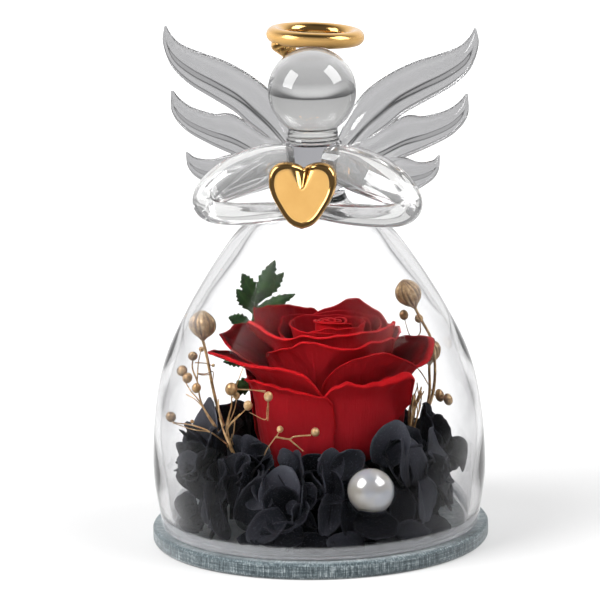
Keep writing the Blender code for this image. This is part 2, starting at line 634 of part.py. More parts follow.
def make_leaf(material, bouquet):
    """A fern-like leaf behind the rose: a stem with nine toothed lobes."""
    path = smooth_path(LEAF_STEM, 7)
    leaf = add_mesh("leaf_frond", tube_mesh(path, [0.7] * 7, 5), material, bouquet)
    for i, (height, tip, width) in enumerate(LEAF_LOBES):
        lobe = lobe_mesh(point_at_height(path, height), tip, width)
        guide = add_mesh("leaf_lobe_%d_guide" % (i + 1), lobe, material, bouquet)
        combine(leaf, guide, "UNION")


def main():
    clear_scene()
    glass = make_material("clear_glass", (0.95, 0.97, 0.97), 0.02, transmission=1.0, ior=1.47)
    gold = make_material("polished_gold", (0.83, 0.55, 0.22), 0.12, metallic=1.0)
    felt = make_material("grey_felt", (0.16, 0.22, 0.24), 0.95)
    foam = make_material("dark_foam", (0.02, 0.03, 0.03), 0.95)
    red = make_material("red_petal", (0.42, 0.01, 0.015), 0.6)
    calyx = make_material("green_calyx", (0.05, 0.12, 0.03), 0.8)
    black = make_material("black_petal", (0.02, 0.022, 0.028), 0.65)
    green = make_material("green_leaf", (0.05, 0.18, 0.03), 0.6)
    straw = make_material("gold_straw", (0.55, 0.36, 0.17), 0.5)
    pearl = make_material("white_pearl", (0.85, 0.82, 0.76), 0.2)

    bouquet = bpy.data.objects.new("bouquet", None)
    bpy.context.scene.collection.objects.link(bouquet)
    bouquet.rotation_euler = (0.0, 0.0, math.radians(BOUQUET_TURN))

    make_base(felt)
    make_dome(glass)
    make_head(glass)
    cutter = torso_cutter(glass)
    for side, word in ((-1, "left"), (1, "right")):
        make_wing("wing_" + word, side, glass, cutter)
        make_arm("arm_" + word, side, glass, cutter)
    make_heart(gold)
    make_halo(gold)
    make_foam(foam, bouquet)
    make_rose_heart(red, calyx, bouquet)
    make_petals(red, bouquet)
    make_florets(black, bouquet)
    make_leaf(green, bouquet)
    make_pods(straw, bouquet)
    make_sprigs(straw, bouquet)
    make_pearl(pearl, bouquet)


main()
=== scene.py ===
"""Looks for the preserved rose in a glass dome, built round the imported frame.

Lengths are millimetres unless a name says otherwise, and are turned into metres when a mesh is made.
The flowers are shaped in their own frame, the bouquet, which is turned BOUQUET_TURN about Z.
"""

import json
import math
import random

import bmesh
import bpy
from mathutils import Matrix, Vector, noise

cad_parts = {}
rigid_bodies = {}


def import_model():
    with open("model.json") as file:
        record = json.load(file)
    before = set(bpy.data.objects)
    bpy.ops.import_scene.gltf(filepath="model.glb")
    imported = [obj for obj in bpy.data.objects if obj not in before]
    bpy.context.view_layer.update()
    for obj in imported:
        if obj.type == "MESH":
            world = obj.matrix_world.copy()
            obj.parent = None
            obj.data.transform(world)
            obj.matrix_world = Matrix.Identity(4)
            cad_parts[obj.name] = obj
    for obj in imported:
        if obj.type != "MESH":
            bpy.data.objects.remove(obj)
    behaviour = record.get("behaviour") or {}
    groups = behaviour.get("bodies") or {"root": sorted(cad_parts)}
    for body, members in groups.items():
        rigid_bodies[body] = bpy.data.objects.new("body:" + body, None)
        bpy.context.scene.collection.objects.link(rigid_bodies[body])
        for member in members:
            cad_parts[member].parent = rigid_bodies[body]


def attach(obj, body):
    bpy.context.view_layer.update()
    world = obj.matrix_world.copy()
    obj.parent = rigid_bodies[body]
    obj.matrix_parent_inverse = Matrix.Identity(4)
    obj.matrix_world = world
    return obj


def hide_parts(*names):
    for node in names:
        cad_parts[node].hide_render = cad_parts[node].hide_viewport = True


MM = 0.001
NOISE_SEED = 5
BOUQUET_TURN = math.radians(10.0)
BOUQUET = Matrix.Rotation(BOUQUET_TURN, 4, "Z")

BASE_RADIUS = 50.0
BASE_HEIGHT = 5.0
BASE_EDGE = 1.2
DOME_OUTSIDE = [(47.2, 5.3), (49.4, 24.0), (46.5, 50.0), (38.0, 70.0), (25.3, 90.0), (17.5, 97.5),
                (12.6, 99.6), (9.6, 103.0), (8.9, 108.0), (8.4, 119.3)]
DOME_INSIDE = [(0.0, 98.2), (7.0, 98.1), (12.6, 97.2), (17.0, 94.8), (22.8, 88.6), (33.0, 74.0), (40.6, 60.0),
               (46.0, 40.0), (47.0, 24.0), (44.6, 8.0), (43.6, 6.2), (44.6, 5.3)]
TORSO_LOW_Z = 98.0
HEAD_RADIUS = 13.0
HEAD_CENTRE_Z = 134.6
NECK_RADIUS = 7.6
NECK_RINGS = [(-0.4, 0.0), (0.2, 0.5), (0.2, 1.1), (-0.3, 1.7), (-0.1, 2.4), (-0.3, 3.2)]
HALO_CENTRE = (-1.2, 14.3, 148.7)
HALO_RADIUS = 12.2
HALO_TUBE = 2.3
HALO_PITCH = -2.0
HALO_ROLL = 3.0
WING_PLANE_Y = 6.5
WING_SWEEP = 0.18
WING_HALF_THICKNESS = 1.3
HEART_WIDTH = 20.0
HEART_HEIGHT = 19.0
HEART_LOW_Z = 97.7
HEART_BACK_Y = -16.9
HEART_FRONT_Y = -21.2
HEART_LEAN = 0.17
FOAM_TOP_Z = 14.0
FOAM_RADIUS = 25.6
ROSE_X = 4.5
ROSE_FOOT_Z = 19.6
PEARL_RADIUS = 6.85
PEARL_CENTRE = Vector((14.6, -33.0, 21.8))


def mix(a, b, t):
    return a + (b - a) * t


def clamp(t):
    return min(max(t, 0.0), 1.0)


def catmull(p0, p1, p2, p3, t):
    return 0.5 * (2 * p1 + (p2 - p0) * t + (2 * p0 - 5 * p1 + 4 * p2 - p3) * t ** 2
                  + (3 * p1 - p0 - 3 * p2 + p3) * t ** 3)


def along(values, t):
    """Smooth curve through evenly spaced numbers or vectors, read at t from 0 to 1."""
    last = len(values) - 1
    spot = clamp(t) * last
    i = min(int(spot), last - 1)
    before = values[i - 1] if i > 0 else 2 * values[0] - values[1]
    after = values[i + 2] if i + 2 <= last else 2 * values[last] - values[last - 1]
    return catmull(before, values[i], values[i + 1], after, spot - i)


def smooth_path(points, count):
    vectors = [Vector(p) for p in points]
    return [along(vectors, i / (count - 1)) for i in range(count)]


def smooth_profile(knots, count):
    """A smooth curve of (x, y) pairs through the knots."""
    return [(p.x, p.y) for p in smooth_path([(x, y, 0) for x, y in knots], count)]


def straight(knots, x):
    """Straight lines through (x, y) knots, read at x and held past the last."""
    for (x0, y0), (x1, y1) in zip(knots, knots[1:]):
        if x <= x1:
            return mix(y0, y1, (x - x0) / (x1 - x0))
    return knots[-1][1]


def grid_of(rows, columns, spot):
    """Rows of points and rows of marks, from spot(r, c), which gives a point and its three marks."""
    cells = [[spot(r, c) for c in range(columns)] for r in range(rows)]
    return [[cell[0] for cell in row] for row in cells], [[cell[1] for cell in row] for row in cells]


def frame_of(x, y, z, origin):
    """The matrix with the given axes and origin."""
    rows = [(x[i], y[i], z[i], origin[i]) for i in range(3)]
    return Matrix((*rows, (0, 0, 0, 1)))


class Shape:
    """Points in millimetres, faces, and three numbers a point: across, along and a tone, which on the rose
    and the black petals is painted light and shade, on the gilding satin, and elsewhere a tone of its own.
    """

    def __init__(self):
        self.points = []
        self.faces = []
        self.marks = []

    def add_grid(self, rows, marks=None, wrap=False):
        """Rows of equally many points joined with quads; wrap joins each row's ends."""
        start = len(self.points)
        width = len(rows[0])
        for r, row in enumerate(rows):
            self.points.extend(row)
            self.marks.extend(marks[r] if marks else [(0.0, 0.0, 0.0)] * width)
        for r in range(len(rows) - 1):
            for c in range(width if wrap else width - 1):
                a = start + r * width + c
                b = start + r * width + (c + 1) % width
                self.faces.append((a, b, b + width, a + width))
        return start

    def add_closed_grid(self, rows, marks=None):
        """Rings of points joined one after another, with a cap at each end."""
        start = self.add_grid(rows, marks, wrap=True)
        width = len(rows[0])
        last = start + (len(rows) - 1) * width
        self.faces.append(tuple(range(start + width - 1, start - 1, -1)))
        self.faces.append(tuple(range(last, last + width)))

    def add_tube(self, path, radii, sides, wobble=None, tone=0.0, groove=0.0):
        """A closed tube along a path; wobble(i, angle) scales the radius round each ring.

        groove is how fast the tone rises where the radius falls."""
        side_axis = (path[1] - path[0]).orthogonal().normalized()
        rows, marks = [], []
        for i, centre in enumerate(path):
            ahead = (path[min(i + 1, len(path) - 1)] - path[max(i - 1, 0)]).normalized()
            side_axis = (side_axis - ahead * side_axis.dot(ahead)).normalized()
            other_axis = ahead.cross(side_axis)
            row, row_marks = [], []
            for k in range(sides):
                angle = 2 * math.pi * k / sides
                share = wobble(i, angle) if wobble else 1.0
                radius = radii[i] * share
                row_marks.append((k / sides, i / (len(path) - 1), clamp(tone + groove * (1.0 - share))))
                row.append(centre + radius * (math.cos(angle) * side_axis + math.sin(angle) * other_axis))
            rows.append(row)
            marks.append(row_marks)
        self.add_closed_grid(rows, marks)

    def add_ball(self, centre, radius, sides=10, rings=7, stretch=1.0, tone=0.0):
        angles = [math.pi * (i + 0.5) / rings - math.pi / 2 for i in range(rings)]
        path = [Vector(centre) + Vector((0, 0, radius * stretch * math.sin(a))) for a in angles]
        self.add_tube(path, [radius * math.cos(a) for a in angles], sides, tone=tone)

    def add_lathe(self, profile, steps, centre=(0.0, 0.0, 0.0)):
        """Spins (radius, height) points about Z; a radius of 0 is one point."""
        rows = []
        for j, (radius, height) in enumerate(profile):
            count = 1 if radius < 1e-6 else steps
            row = []
            for i in range(count):
                angle = 2 * math.pi * i / steps
                ring = Vector((radius * math.cos(angle), radius * math.sin(angle), height))
                self.points.append(Vector(centre) + ring)
                self.marks.append((i / steps, j / len(profile), 0.0))
                row.append(len(self.points) - 1)
            rows.append(row)
        for lower, upper in zip(rows, rows[1:]):
            for i in range(steps):
                j = (i + 1) % steps
                corners = [lower[i % len(lower)], lower[j % len(lower)],
                           upper[j % len(upper)], upper[i % len(upper)]]
                corners = list(dict.fromkeys(corners))
                if len(corners) > 2:
                    self.faces.append(tuple(corners))


def build(name, shape, material, slot, nodes=(), bouquet=False, thickness=0.0, sharp=45.0):
    """Turns a shape into a piece that rides on the body and stands for the CAD nodes given."""
    mesh = bpy.data.meshes.new(name)
    turn = BOUQUET if bouquet else Matrix.Identity(4)
    mesh.from_pydata([(turn @ Vector(p)) * MM for p in shape.points], [], shape.faces)
    marks = mesh.attributes.new("marks", "FLOAT_VECTOR", "POINT")
    marks.data.foreach_set("vector", [x for mark in shape.marks for x in mark])
    bm = bmesh.new()
    bm.from_mesh(mesh)
    bmesh.ops.recalc_face_normals(bm, faces=bm.faces[:])
    bm.to_mesh(mesh)
    bm.free()
    mesh.shade_smooth()
    mesh.set_sharp_from_angle(angle=math.radians(sharp))
    mesh.materials.append(material)
    piece = bpy.data.objects.new(name, mesh)
    bpy.context.scene.collection.objects.link(piece)
    if thickness:
        solid = piece.modifiers.new("thickness", "SOLIDIFY")
        solid.thickness = thickness * MM
        solid.offset = 0.0
    if slot:
        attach(piece, "root")
    if nodes:
        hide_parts(*nodes)
    return piece


def dress(piece, node):
    """Shading, body and node of a piece that was cut or joined."""
    piece.data.shade_smooth()
    piece.data.set_sharp_from_angle(angle=math.radians(50))
    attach(piece, "root")
    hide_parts(node)


def combine(piece, other, operation):
    """Adds or cuts with another object, and then removes that object."""
    boolean = piece.modifiers.new(operation.lower(), "BOOLEAN")
    boolean.operation = operation
    boolean.solver = "EXACT"
    boolean.object = other
    evaluated = piece.evaluated_get(bpy.context.evaluated_depsgraph_get())
    mesh = bpy.data.meshes.new_from_object(evaluated)
    piece.modifiers.clear()
    piece.data = mesh
    bpy.data.objects.remove(other, do_unlink=True)


# Materials

def new_material(name, colour, roughness, **sockets):
    material = bpy.data.materials.new(name)
    material.use_nodes = True
    shader = material.node_tree.nodes["Principled BSDF"]
    shader.inputs["Base Color"].default_value = (*colour, 1.0)
    shader.inputs["Roughness"].default_value = roughness
    for socket, value in sockets.items():
        shader.inputs[socket.replace("_", " ")].default_value = value
    return material, material.node_tree, shader


def add_node(tree, kind, inputs=None, **settings):
    node = tree.nodes.new(kind)
    for key, value in settings.items():
        setattr(node, key, value)
    for key, value in (inputs or {}).items():
        if isinstance(value, bpy.types.NodeSocket):
            tree.links.new(value, node.inputs[key])
        else:
            node.inputs[key].default_value = value
    return node


def marks_of(tree):
    """The marks of the point being shaded, as a vector, and split in across, height and tone."""
    vector = add_node(tree, "ShaderNodeAttribute", attribute_name="marks").outputs["Vector"]
    across, height, tone = add_node(tree, "ShaderNodeSeparateXYZ", {0: vector}).outputs
    return {"vector": vector, "across": across, "height": height, "tone": tone}


def place_of(tree):
    return add_node(tree, "ShaderNodeTexCoord").outputs["Object"]


def height_of(tree, place):
    return add_node(tree, "ShaderNodeSeparateXYZ", {0: place}).outputs["Z"]


def spread(tree, value, low, high, to_low=0.0, to_high=1.0, **settings):
    """Maps low to high onto to_low to to_high, and holds at both ends."""
    inputs = {"Value": value, "From Min": low, "From Max": high, "To Min": to_low, "To Max": to_high}
    return add_node(tree, "ShaderNodeMapRange", inputs, **settings).outputs[0]


def vector_maths(tree, operation, a, b=(0.0, 0.0, 0.0)):
    node = add_node(tree, "ShaderNodeVectorMath", {0: a, 1: b}, operation=operation)
    return node.outputs["Value" if operation == "DOT_PRODUCT" else "Vector"]


def feed(tree, shader, **sockets):
    """Links outputs to the shader's sockets, which are named with _ for a space."""
    for socket, output in sockets.items():
        tree.links.new(output, shader.inputs[socket.replace("_", " ")])


def grain(tree, place, scale, detail=4.0, roughness=0.6):
    return add_node(tree, "ShaderNodeTexNoise", {"Vector": place, "Scale": scale, "Detail": detail,
                                                 "Roughness": roughness}).outputs["Fac"]


def stretched(tree, place, scale):
    return add_node(tree, "ShaderNodeMapping", {"Vector": place, "Scale": scale}).outputs["Vector"]


def ramp(tree, factor, stops):
    """A colour ramp through (place, colour) stops."""
    node = add_node(tree, "ShaderNodeValToRGB", {"Fac": factor})
    elements = node.color_ramp.elements
    while len(elements) < len(stops):
        elements.new(0.5)
    for element, (position, colour) in zip(elements, stops):
        element.position = position
        element.color = (*colour, 1.0)
    return node.outputs["Color"]


def greys(stops):
    """Ramp stops for (place, grey level) pairs."""
    return [(place, (level, level, level)) for place, level in stops]


def blend_colour(tree, factor, a, b, mode="MIX"):
    node = add_node(tree, "ShaderNodeMix", data_type="RGBA", blend_type=mode)
    for socket, value in ((0, factor), (6, a), (7, b)):
        if isinstance(value, bpy.types.NodeSocket):
            tree.links.new(value, node.inputs[socket])
        elif socket == 0:
            node.inputs[socket].default_value = value
        else:
            node.inputs[socket].default_value = (*value, 1.0)
    return node.outputs[2]


def maths(tree, operation, a, b=0.5, c=0.0):
    node = add_node(tree, "ShaderNodeMath", operation=operation)
    for socket, value in enumerate((a, b, c)):
        if isinstance(value, bpy.types.NodeSocket):
            tree.links.new(value, node.inputs[socket])
        else:
            node.inputs[socket].default_value = value
    return node.outputs[0]


def add_bump(tree, shader, height, distance, strength=1.0, after=None):
    inputs = {"Height": height, "Distance": distance * MM, "Strength": strength}
    if after:
        inputs["Normal"] = after
    bump = add_node(tree, "ShaderNodeBump", inputs).outputs["Normal"]
    tree.links.new(bump, shader.inputs["Normal"])
    return bump


# Heights in metres between which the dome's glass turns solid, its ground foot ends, and the head's
# painted light and shade run.
TORSO_TINT_M = (0.099, 0.110)
GROUND_FOOT_M = (0.0092, 0.0084)
HEAD_PAINT_SPAN_M = (0.120, 0.148)
GLASS_IOR = 1.47


def make_glass(name, colour, mirror, solid_colour=None, coat=0.0, clear=1.0, layers=None):
    """Clear glass; mirror is how much of the reflection that faces the eye is kept.

    With solid_colour the glass passes into solid glass at the neck, which holds back more light, its
    walls are painted grey towards their outline as painted shade, and its ground foot is misty. layers
    are painted light and shade by height."""
    material, tree, shader = new_material(name, colour, 0.0, IOR=GLASS_IOR, Transmission_Weight=clear,
                                          Specular_Tint=(mirror, mirror, mirror, 1.0), Coat_Weight=coat,
                                          Coat_Roughness=0.0, Coat_IOR=1.6)
    place = place_of(tree)
    height = height_of(tree, place)
    if solid_colour:
        share = spread(tree, height, *TORSO_TINT_M)
        # Painted shade: the walls turn grey and let less light through towards their outline, standing in for
        # the grey bands the glass shows there.
        facing = add_node(tree, "ShaderNodeLayerWeight", {"Blend": 0.5}).outputs["Facing"]
        painted_wall_shade = ramp(tree, facing, [(0.36, colour), (0.50, (0.86, 0.86, 0.87)), (0.62, (0.68, 0.68, 0.69)),
                                   (0.84, (0.60, 0.60, 0.61)), (0.93, (0.30, 0.30, 0.31)),
                                   (1.0, (0.25, 0.25, 0.26))])
        edge = spread(tree, facing, 0.84, 0.94)
        tint = blend_colour(tree, share, painted_wall_shade, solid_colour)
        foot = spread(tree, height, *GROUND_FOOT_M)
        tint = blend_colour(tree, foot, tint, (0.66, 0.67, 0.69))
        see_through = maths(tree, "MULTIPLY_ADD", edge, -0.6, 1.0)
        see_through = maths(tree, "MULTIPLY_ADD", foot, -0.25, see_through)
        feed(tree, shader, Base_Color=tint, Roughness=maths(tree, "MULTIPLY", foot, 0.12),
             Transmission_Weight=see_through)
    if layers:
        # Painted light and shade: the head's glass is tinted in bands by height.
        feed(tree, shader, Base_Color=ramp(tree, spread(tree, height, *HEAD_PAINT_SPAN_M), layers))
    flow = stretched(tree, place, (40.0, 40.0, 12.0))
    add_bump(tree, shader, grain(tree, flow, 1.0, 1.0), 0.25, 0.25)
    return material


def make_gold():
    """Gilding; where the tone mark is 1 it is satin, elsewhere polished. On the heart the satin is the face's
    own finish; on the halo it is a painted reflection.
    """
    material, tree, shader = new_material("polished_gold", (0.86, 0.56, 0.22), 0.14, Metallic=1.0)
    place = place_of(tree)
    satin = marks_of(tree)["tone"]
    shine = ramp(tree, grain(tree, place, 160.0), [(0.3, (0.74, 0.42, 0.13)), (0.7, (0.84, 0.52, 0.20))])
    matt = ramp(tree, grain(tree, place, 120.0), [(0.3, (0.46, 0.26, 0.076)), (0.7, (0.51, 0.30, 0.096))])
    feed(tree, shader, Base_Color=blend_colour(tree, satin, shine, matt),
         Roughness=maths(tree, "MULTIPLY_ADD", satin, 0.30, 0.12),
         Metallic=maths(tree, "MULTIPLY_ADD", satin, -0.85, 1.0))
    add_bump(tree, shader, grain(tree, place, 500.0, 2.0), 0.02, 0.4)
    return material


def make_felt():
    material, tree, shader = new_material("grey_felt", (0.16, 0.21, 0.22), 0.95, Sheen_Weight=0.4,
                                          Sheen_Roughness=0.5)
    place = place_of(tree)
    threads_up = grain(tree, stretched(tree, marks_of(tree)["vector"], (900.0, 6.0, 1.0)), 1.0, 3.0, 0.7)
    threads_round = grain(tree, stretched(tree, place, (60.0, 60.0, 1700.0)), 1.0, 3.0, 0.7)
    fuzz = grain(tree, place, 1100.0, 5.0, 0.75)
    weave = maths(tree, "MULTIPLY_ADD", threads_up, 0.40, maths(tree, "MULTIPLY", threads_round, 0.30))
    fibres = maths(tree, "MULTIPLY_ADD", fuzz, 0.30, weave)
    clouds = grain(tree, place, 90.0, 3.0)
    tone = ramp(tree, fibres, [(0.40, (0.012, 0.019, 0.023)), (0.48, (0.055, 0.075, 0.083)),
                               (0.53, (0.12, 0.15, 0.16)), (0.60, (0.36, 0.40, 0.41))])
    tone = blend_colour(tree, maths(tree, "MULTIPLY", clouds, 0.35), tone, (0.045, 0.062, 0.070))
    feed(tree, shader, Base_Color=tone)
    add_bump(tree, shader, fibres, 0.35, 0.9)
    return material


def make_foam_material():
    material, tree, shader = new_material("dark_foam", (0.02, 0.03, 0.03), 0.95)
    place = place_of(tree)
    pores = grain(tree, place, 700.0)
    tone = ramp(tree, pores, [(0.35, (0.008, 0.011, 0.012)), (0.65, (0.035, 0.045, 0.045))])
    feed(tree, shader, Base_Color=tone)
    add_bump(tree, shader, grain(tree, place, 1300.0), 0.3)
    return material


def make_red():
    """Velvety preserved petal with grain and veins, and painted light and shade: deeper towards the foot,
    brighter on the thin rim, darker on faces turned inwards and on petals given a painted shade.
    """
    material, tree, shader = new_material("red_petal", (0.30, 0.01, 0.015), 0.65, Sheen_Weight=0.006,
                                          Sheen_Roughness=0.45, Sheen_Tint=(1.0, 0.35, 0.35, 1.0),
                                          Specular_IOR_Level=0.04)
    marks = marks_of(tree)
    # Painted shade and light: darker towards the petal's foot and brighter on its thin rim.
    body = ramp(tree, marks["height"], [(0.0, (0.19, 0.004, 0.009)), (0.55, (0.35, 0.011, 0.017)),
                                        (0.90, (0.38, 0.007, 0.011)), (0.98, (0.52, 0.006, 0.009))])
    veins = grain(tree, stretched(tree, marks["vector"], (70.0, 5.0, 1.0)), 1.0, 3.0)
    clouds = grain(tree, place_of(tree), 220.0, 4.0)
    body = blend_colour(tree, maths(tree, "MULTIPLY", veins, 0.45), body, (0.14, 0.004, 0.007))
    body = blend_colour(tree, maths(tree, "MULTIPLY", clouds, 0.30), body, (0.42, 0.016, 0.022))
    # Painted shade: the tone mark darkens whole petals that lie in their neighbours' shade.
    body = blend_colour(tree, marks["tone"], body, (0.05, 0.0006, 0.001))
    # Painted shade: faces that look in towards the rose's axis are darker.
    axis = BOUQUET @ Vector((ROSE_X * MM, 0.0, 0.0))
    away = vector_maths(tree, "SUBTRACT", place_of(tree), axis)
    radial = vector_maths(tree, "NORMALIZE", vector_maths(tree, "MULTIPLY", away, (1.0, 1.0, 0.0)))
    normal = add_node(tree, "ShaderNodeNewGeometry").outputs["Normal"]
    painted_inner_shade = spread(tree, vector_maths(tree, "DOT_PRODUCT", normal, radial), 0.1, -0.7, 0.0, 0.72)
    feed(tree, shader, Base_Color=blend_colour(tree, painted_inner_shade, body, (0.11, 0.001, 0.003)))
    fine = add_bump(tree, shader, grain(tree, place_of(tree), 1600.0, 3.0), 0.10, 0.5)
    add_bump(tree, shader, veins, 0.22, 0.6, fine)
    return material


def make_black():
    """Black preserved petal: matt, with a fibrous grain, fine veins and a painted cool light on the high
    spots, set by the tone mark.
    """
    material, tree, shader = new_material("black_petal", (0.012, 0.013, 0.017), 0.6, Sheen_Weight=0.002,
                                          Sheen_Roughness=0.4, Sheen_Tint=(0.75, 0.85, 1.0, 1.0),
                                          Specular_IOR_Level=0.06)
    marks = marks_of(tree)
    veins = grain(tree, stretched(tree, marks["vector"], (22.0, 5.0, 3.0)), 1.0, 5.0, 0.7)
    specks = grain(tree, place_of(tree), 1900.0, 2.0)
    body = ramp(tree, veins, [(0.35, (0.0008, 0.0009, 0.0016)), (0.55, (0.0032, 0.0038, 0.0060)),
                              (0.72, (0.016, 0.019, 0.028))])
    # Painted light: the tone mark lightens a petal towards a cool grey.
    body = blend_colour(tree, marks["tone"], body, (0.080, 0.083, 0.102))
    flecks = ramp(tree, specks, [(0.58, (0.0, 0.0, 0.0)), (0.70, (0.05, 0.054, 0.064))])
    feed(tree, shader, Base_Color=blend_colour(tree, 0.6, body, flecks, "ADD"))
    fine = add_bump(tree, shader, grain(tree, place_of(tree), 1500.0, 4.0), 0.12, 0.6)
    add_bump(tree, shader, veins, 0.3, 0.6, fine)
    return material


def make_green():
    material, tree, shader = new_material("green_leaf", (0.04, 0.13, 0.02), 0.55)
    marks = marks_of(tree)
    body = ramp(tree, grain(tree, place_of(tree), 260.0),
                [(0.3, (0.008, 0.045, 0.006)), (0.6, (0.024, 0.105, 0.014)), (0.8, (0.05, 0.17, 0.026))])
    side = maths(tree, "ABSOLUTE", marks["across"])
    midrib = ramp(tree, side, [(0.03, (1.0, 1.0, 1.0)), (0.09, (0.0, 0.0, 0.0))])
    slope = maths(tree, "MULTIPLY_ADD", side, -0.9, maths(tree, "MULTIPLY", marks["height"], 3.5))
    slant = maths(tree, "FRACT", slope)
    ribs = ramp(tree, slant, [(0.0, (0.6, 0.6, 0.6)), (0.12, (0.0, 0.0, 0.0))])
    veins = blend_colour(tree, 1.0, midrib, ribs, "ADD")
    pale = maths(tree, "MULTIPLY", veins, 0.35)
    feed(tree, shader, Base_Color=blend_colour(tree, pale, body, (0.12, 0.26, 0.06)))
    add_bump(tree, shader, grain(tree, stretched(tree, marks["vector"], (30.0, 10.0, 1.0)), 1.0), 0.25, 0.6)
    return material


def make_straw():
    material, tree, shader = new_material("gold_straw", (0.55, 0.36, 0.17), 0.38, Metallic=0.35)
    body = ramp(tree, grain(tree, place_of(tree), 500.0),
                [(0.3, (0.20, 0.10, 0.035)), (0.52, (0.50, 0.30, 0.125)), (0.72, (0.78, 0.58, 0.34))])
    feed(tree, shader, Base_Color=blend_colour(tree, marks_of(tree)["tone"], body, (0.14, 0.065, 0.022)))
    add_bump(tree, shader, grain(tree, place_of(tree), 1800.0), 0.12, 0.6)
    return material


def make_pearl_material():
    material, tree, shader = new_material("white_pearl", (0.62, 0.61, 0.59), 0.14, Coat_Weight=1.0,
                                          Coat_Roughness=0.04, Coat_IOR=1.6, Specular_IOR_Level=1.0)
    clouds = grain(tree, place_of(tree), 120.0, 2.0)
    lustre = ramp(tree, clouds, [(0.35, (0.43, 0.40, 0.35)), (0.5, (0.46, 0.45, 0.44)),
                                 (0.65, (0.41, 0.43, 0.47))])
    feed(tree, shader, Base_Color=lustre)
    return material


def make_calyx():
    material, tree, shader = new_material("green_calyx", (0.05, 0.12, 0.03), 0.8)
    clouds = grain(tree, place_of(tree), 300.0)
    feed(tree, shader, Base_Color=ramp(tree, clouds, [(0.3, (0.02, 0.06, 0.015)), (0.7, (0.08, 0.16, 0.04))]))
    return material


# Glass figure

def dome_outside():
    return smooth_profile(DOME_OUTSIDE, 90)


def torso_guide(top, glass):
    """The solid torso, a little slim, that the wings and arms are cut to."""
    side = [(r - 0.2, z) for r, z in dome_outside() if z > TORSO_LOW_Z]
    torso = Shape()
    torso.add_lathe([(0.0, TORSO_LOW_Z)] + side + [(0.0, top)], 96)
    return build("guide_torso", torso, glass, None)


def make_dome(glass):
    profile = smooth_profile(DOME_INSIDE, 80) + dome_outside()
    profile.append((0.0, DOME_OUTSIDE[-1][1]))
    shape = Shape()
    shape.add_lathe(profile, 128)
    build("dome", shape, glass, "clear_glass", ["glass_dome"], sharp=60)


def make_head(glass):
    foot = DOME_OUTSIDE[-1][1] + 0.3
    neck = [(0.0, foot)] + [(NECK_RADIUS + out, foot + up) for out, up in NECK_RINGS]
    start = math.acos((NECK_RADIUS - 0.2) / HEAD_RADIUS)
    rows = 40
    ball = []
    for i in range(rows):
        angle = mix(-start, math.pi / 2, i / rows)
        ball.append((HEAD_RADIUS * math.cos(angle), HEAD_CENTRE_Z + HEAD_RADIUS * math.sin(angle)))
    ball.append((0.0, HEAD_CENTRE_Z + HEAD_RADIUS))
    shape = Shape()
    shape.add_lathe(neck + ball, 96)
    build("head", shape, glass, "clear_glass", ["head_ball"], sharp=60)


# Painted light and shade of the head's glass from its foot to its top, darkest in a band above the middle.
HEAD_PAINTED_TONES = [(0.0, (0.56, 0.56, 0.55)), *greys([(0.60, 0.50), (0.67, 0.28), (0.80, 0.33)]),
              (1.0, (0.66, 0.66, 0.665))]
# Rims of the wings' feathers from root to tip: (x, z) of the upper and of the lower one.
FEATHERS = {
    "upper": [((3.8, 114.0), (6.0, 110.5)), ((6.4, 120.0), (9.6, 113.8)), ((10.2, 127.8), (15.8, 118.8)),
              ((14.7, 133.5), (20.9, 122.3)), ((21.4, 138.2), (25.5, 126.2)), ((28.4, 141.5), (32.0, 129.8)),
              ((35.3, 143.6), (39.8, 134.2)), ((41.4, 145.8), (45.0, 139.4)), ((44.6, 148.6), (47.3, 146.2)),
              ((46.1, 151.2), (46.7, 151.0))],
    "middle": [((5.0, 116.0), (5.0, 109.6)), ((15.0, 119.4), (16.0, 109.6)), ((25.4, 125.4), (25.2, 112.9)),
               ((31.5, 125.4), (34.0, 116.5)), ((38.0, 127.0), (40.6, 120.2)), ((41.8, 129.4), (44.4, 125.2)),
               ((43.9, 131.8), (44.6, 131.6))],
    "lower": [((5.0, 113.0), (5.0, 108.6)), ((16.0, 112.7), (16.0, 106.4)), ((25.0, 113.4), (27.0, 102.6)),
              ((31.0, 111.6), (34.4, 105.2)), ((35.6, 111.9), (37.6, 108.6)), ((37.7, 113.4), (38.3, 113.3))],
}
FEATHER_SHIFT = {"upper": 0.0, "middle": 0.5, "lower": 2.6}
FEATHER_STEPS = 44
FEATHER_SIDES = 24


def feather_section(share):
    """Half thickness across a feather, 0 at its edges: a thick rim, a channel and a rib along the middle."""
    round_edge = max(0.0, 1.0 - abs(2 * share - 1) ** 3.4) ** 0.5
    return round_edge * (0.72 + 0.28 * math.cos(4 * math.pi * share))


def feather_shape(feather, side, lift):
    stations = FEATHERS[feather]
    reach = stations[-1][0][0]
    uppers = [Vector((x, 0.0, z)) for (x, z), lower in stations]
    lowers = [Vector((x, 0.0, z)) for upper, (x, z) in stations]
    rows = []
    for i in range(FEATHER_STEPS + 1):
        t = i / FEATHER_STEPS
        top, low = along(uppers, t), along(lowers, t)
        depth = min(WING_HALF_THICKNESS, 0.2 * (top - low).length + 0.1)
        row = []
        for k in range(2 * FEATHER_SIDES):
            front = k < FEATHER_SIDES
            share = 0.5 - 0.5 * math.cos(math.pi * (k % FEATHER_SIDES) / FEATHER_SIDES)
            share = share if front else 1.0 - share
            point = top.lerp(low, share)
            out = -feather_section(share) if front else 0.85 * max(0.0, 1.0 - abs(2 * share - 1) ** 3) ** 0.5
            point.y = WING_PLANE_Y + WING_SWEEP * point.x + depth * out + lift
            shift = FEATHER_SHIFT[feather] * (point.x / reach) ** 2
            row.append(Vector((side * point.x - shift, point.y, point.z)))
        rows.append(row)
    shape = Shape()
    shape.add_closed_grid(rows)
    return shape


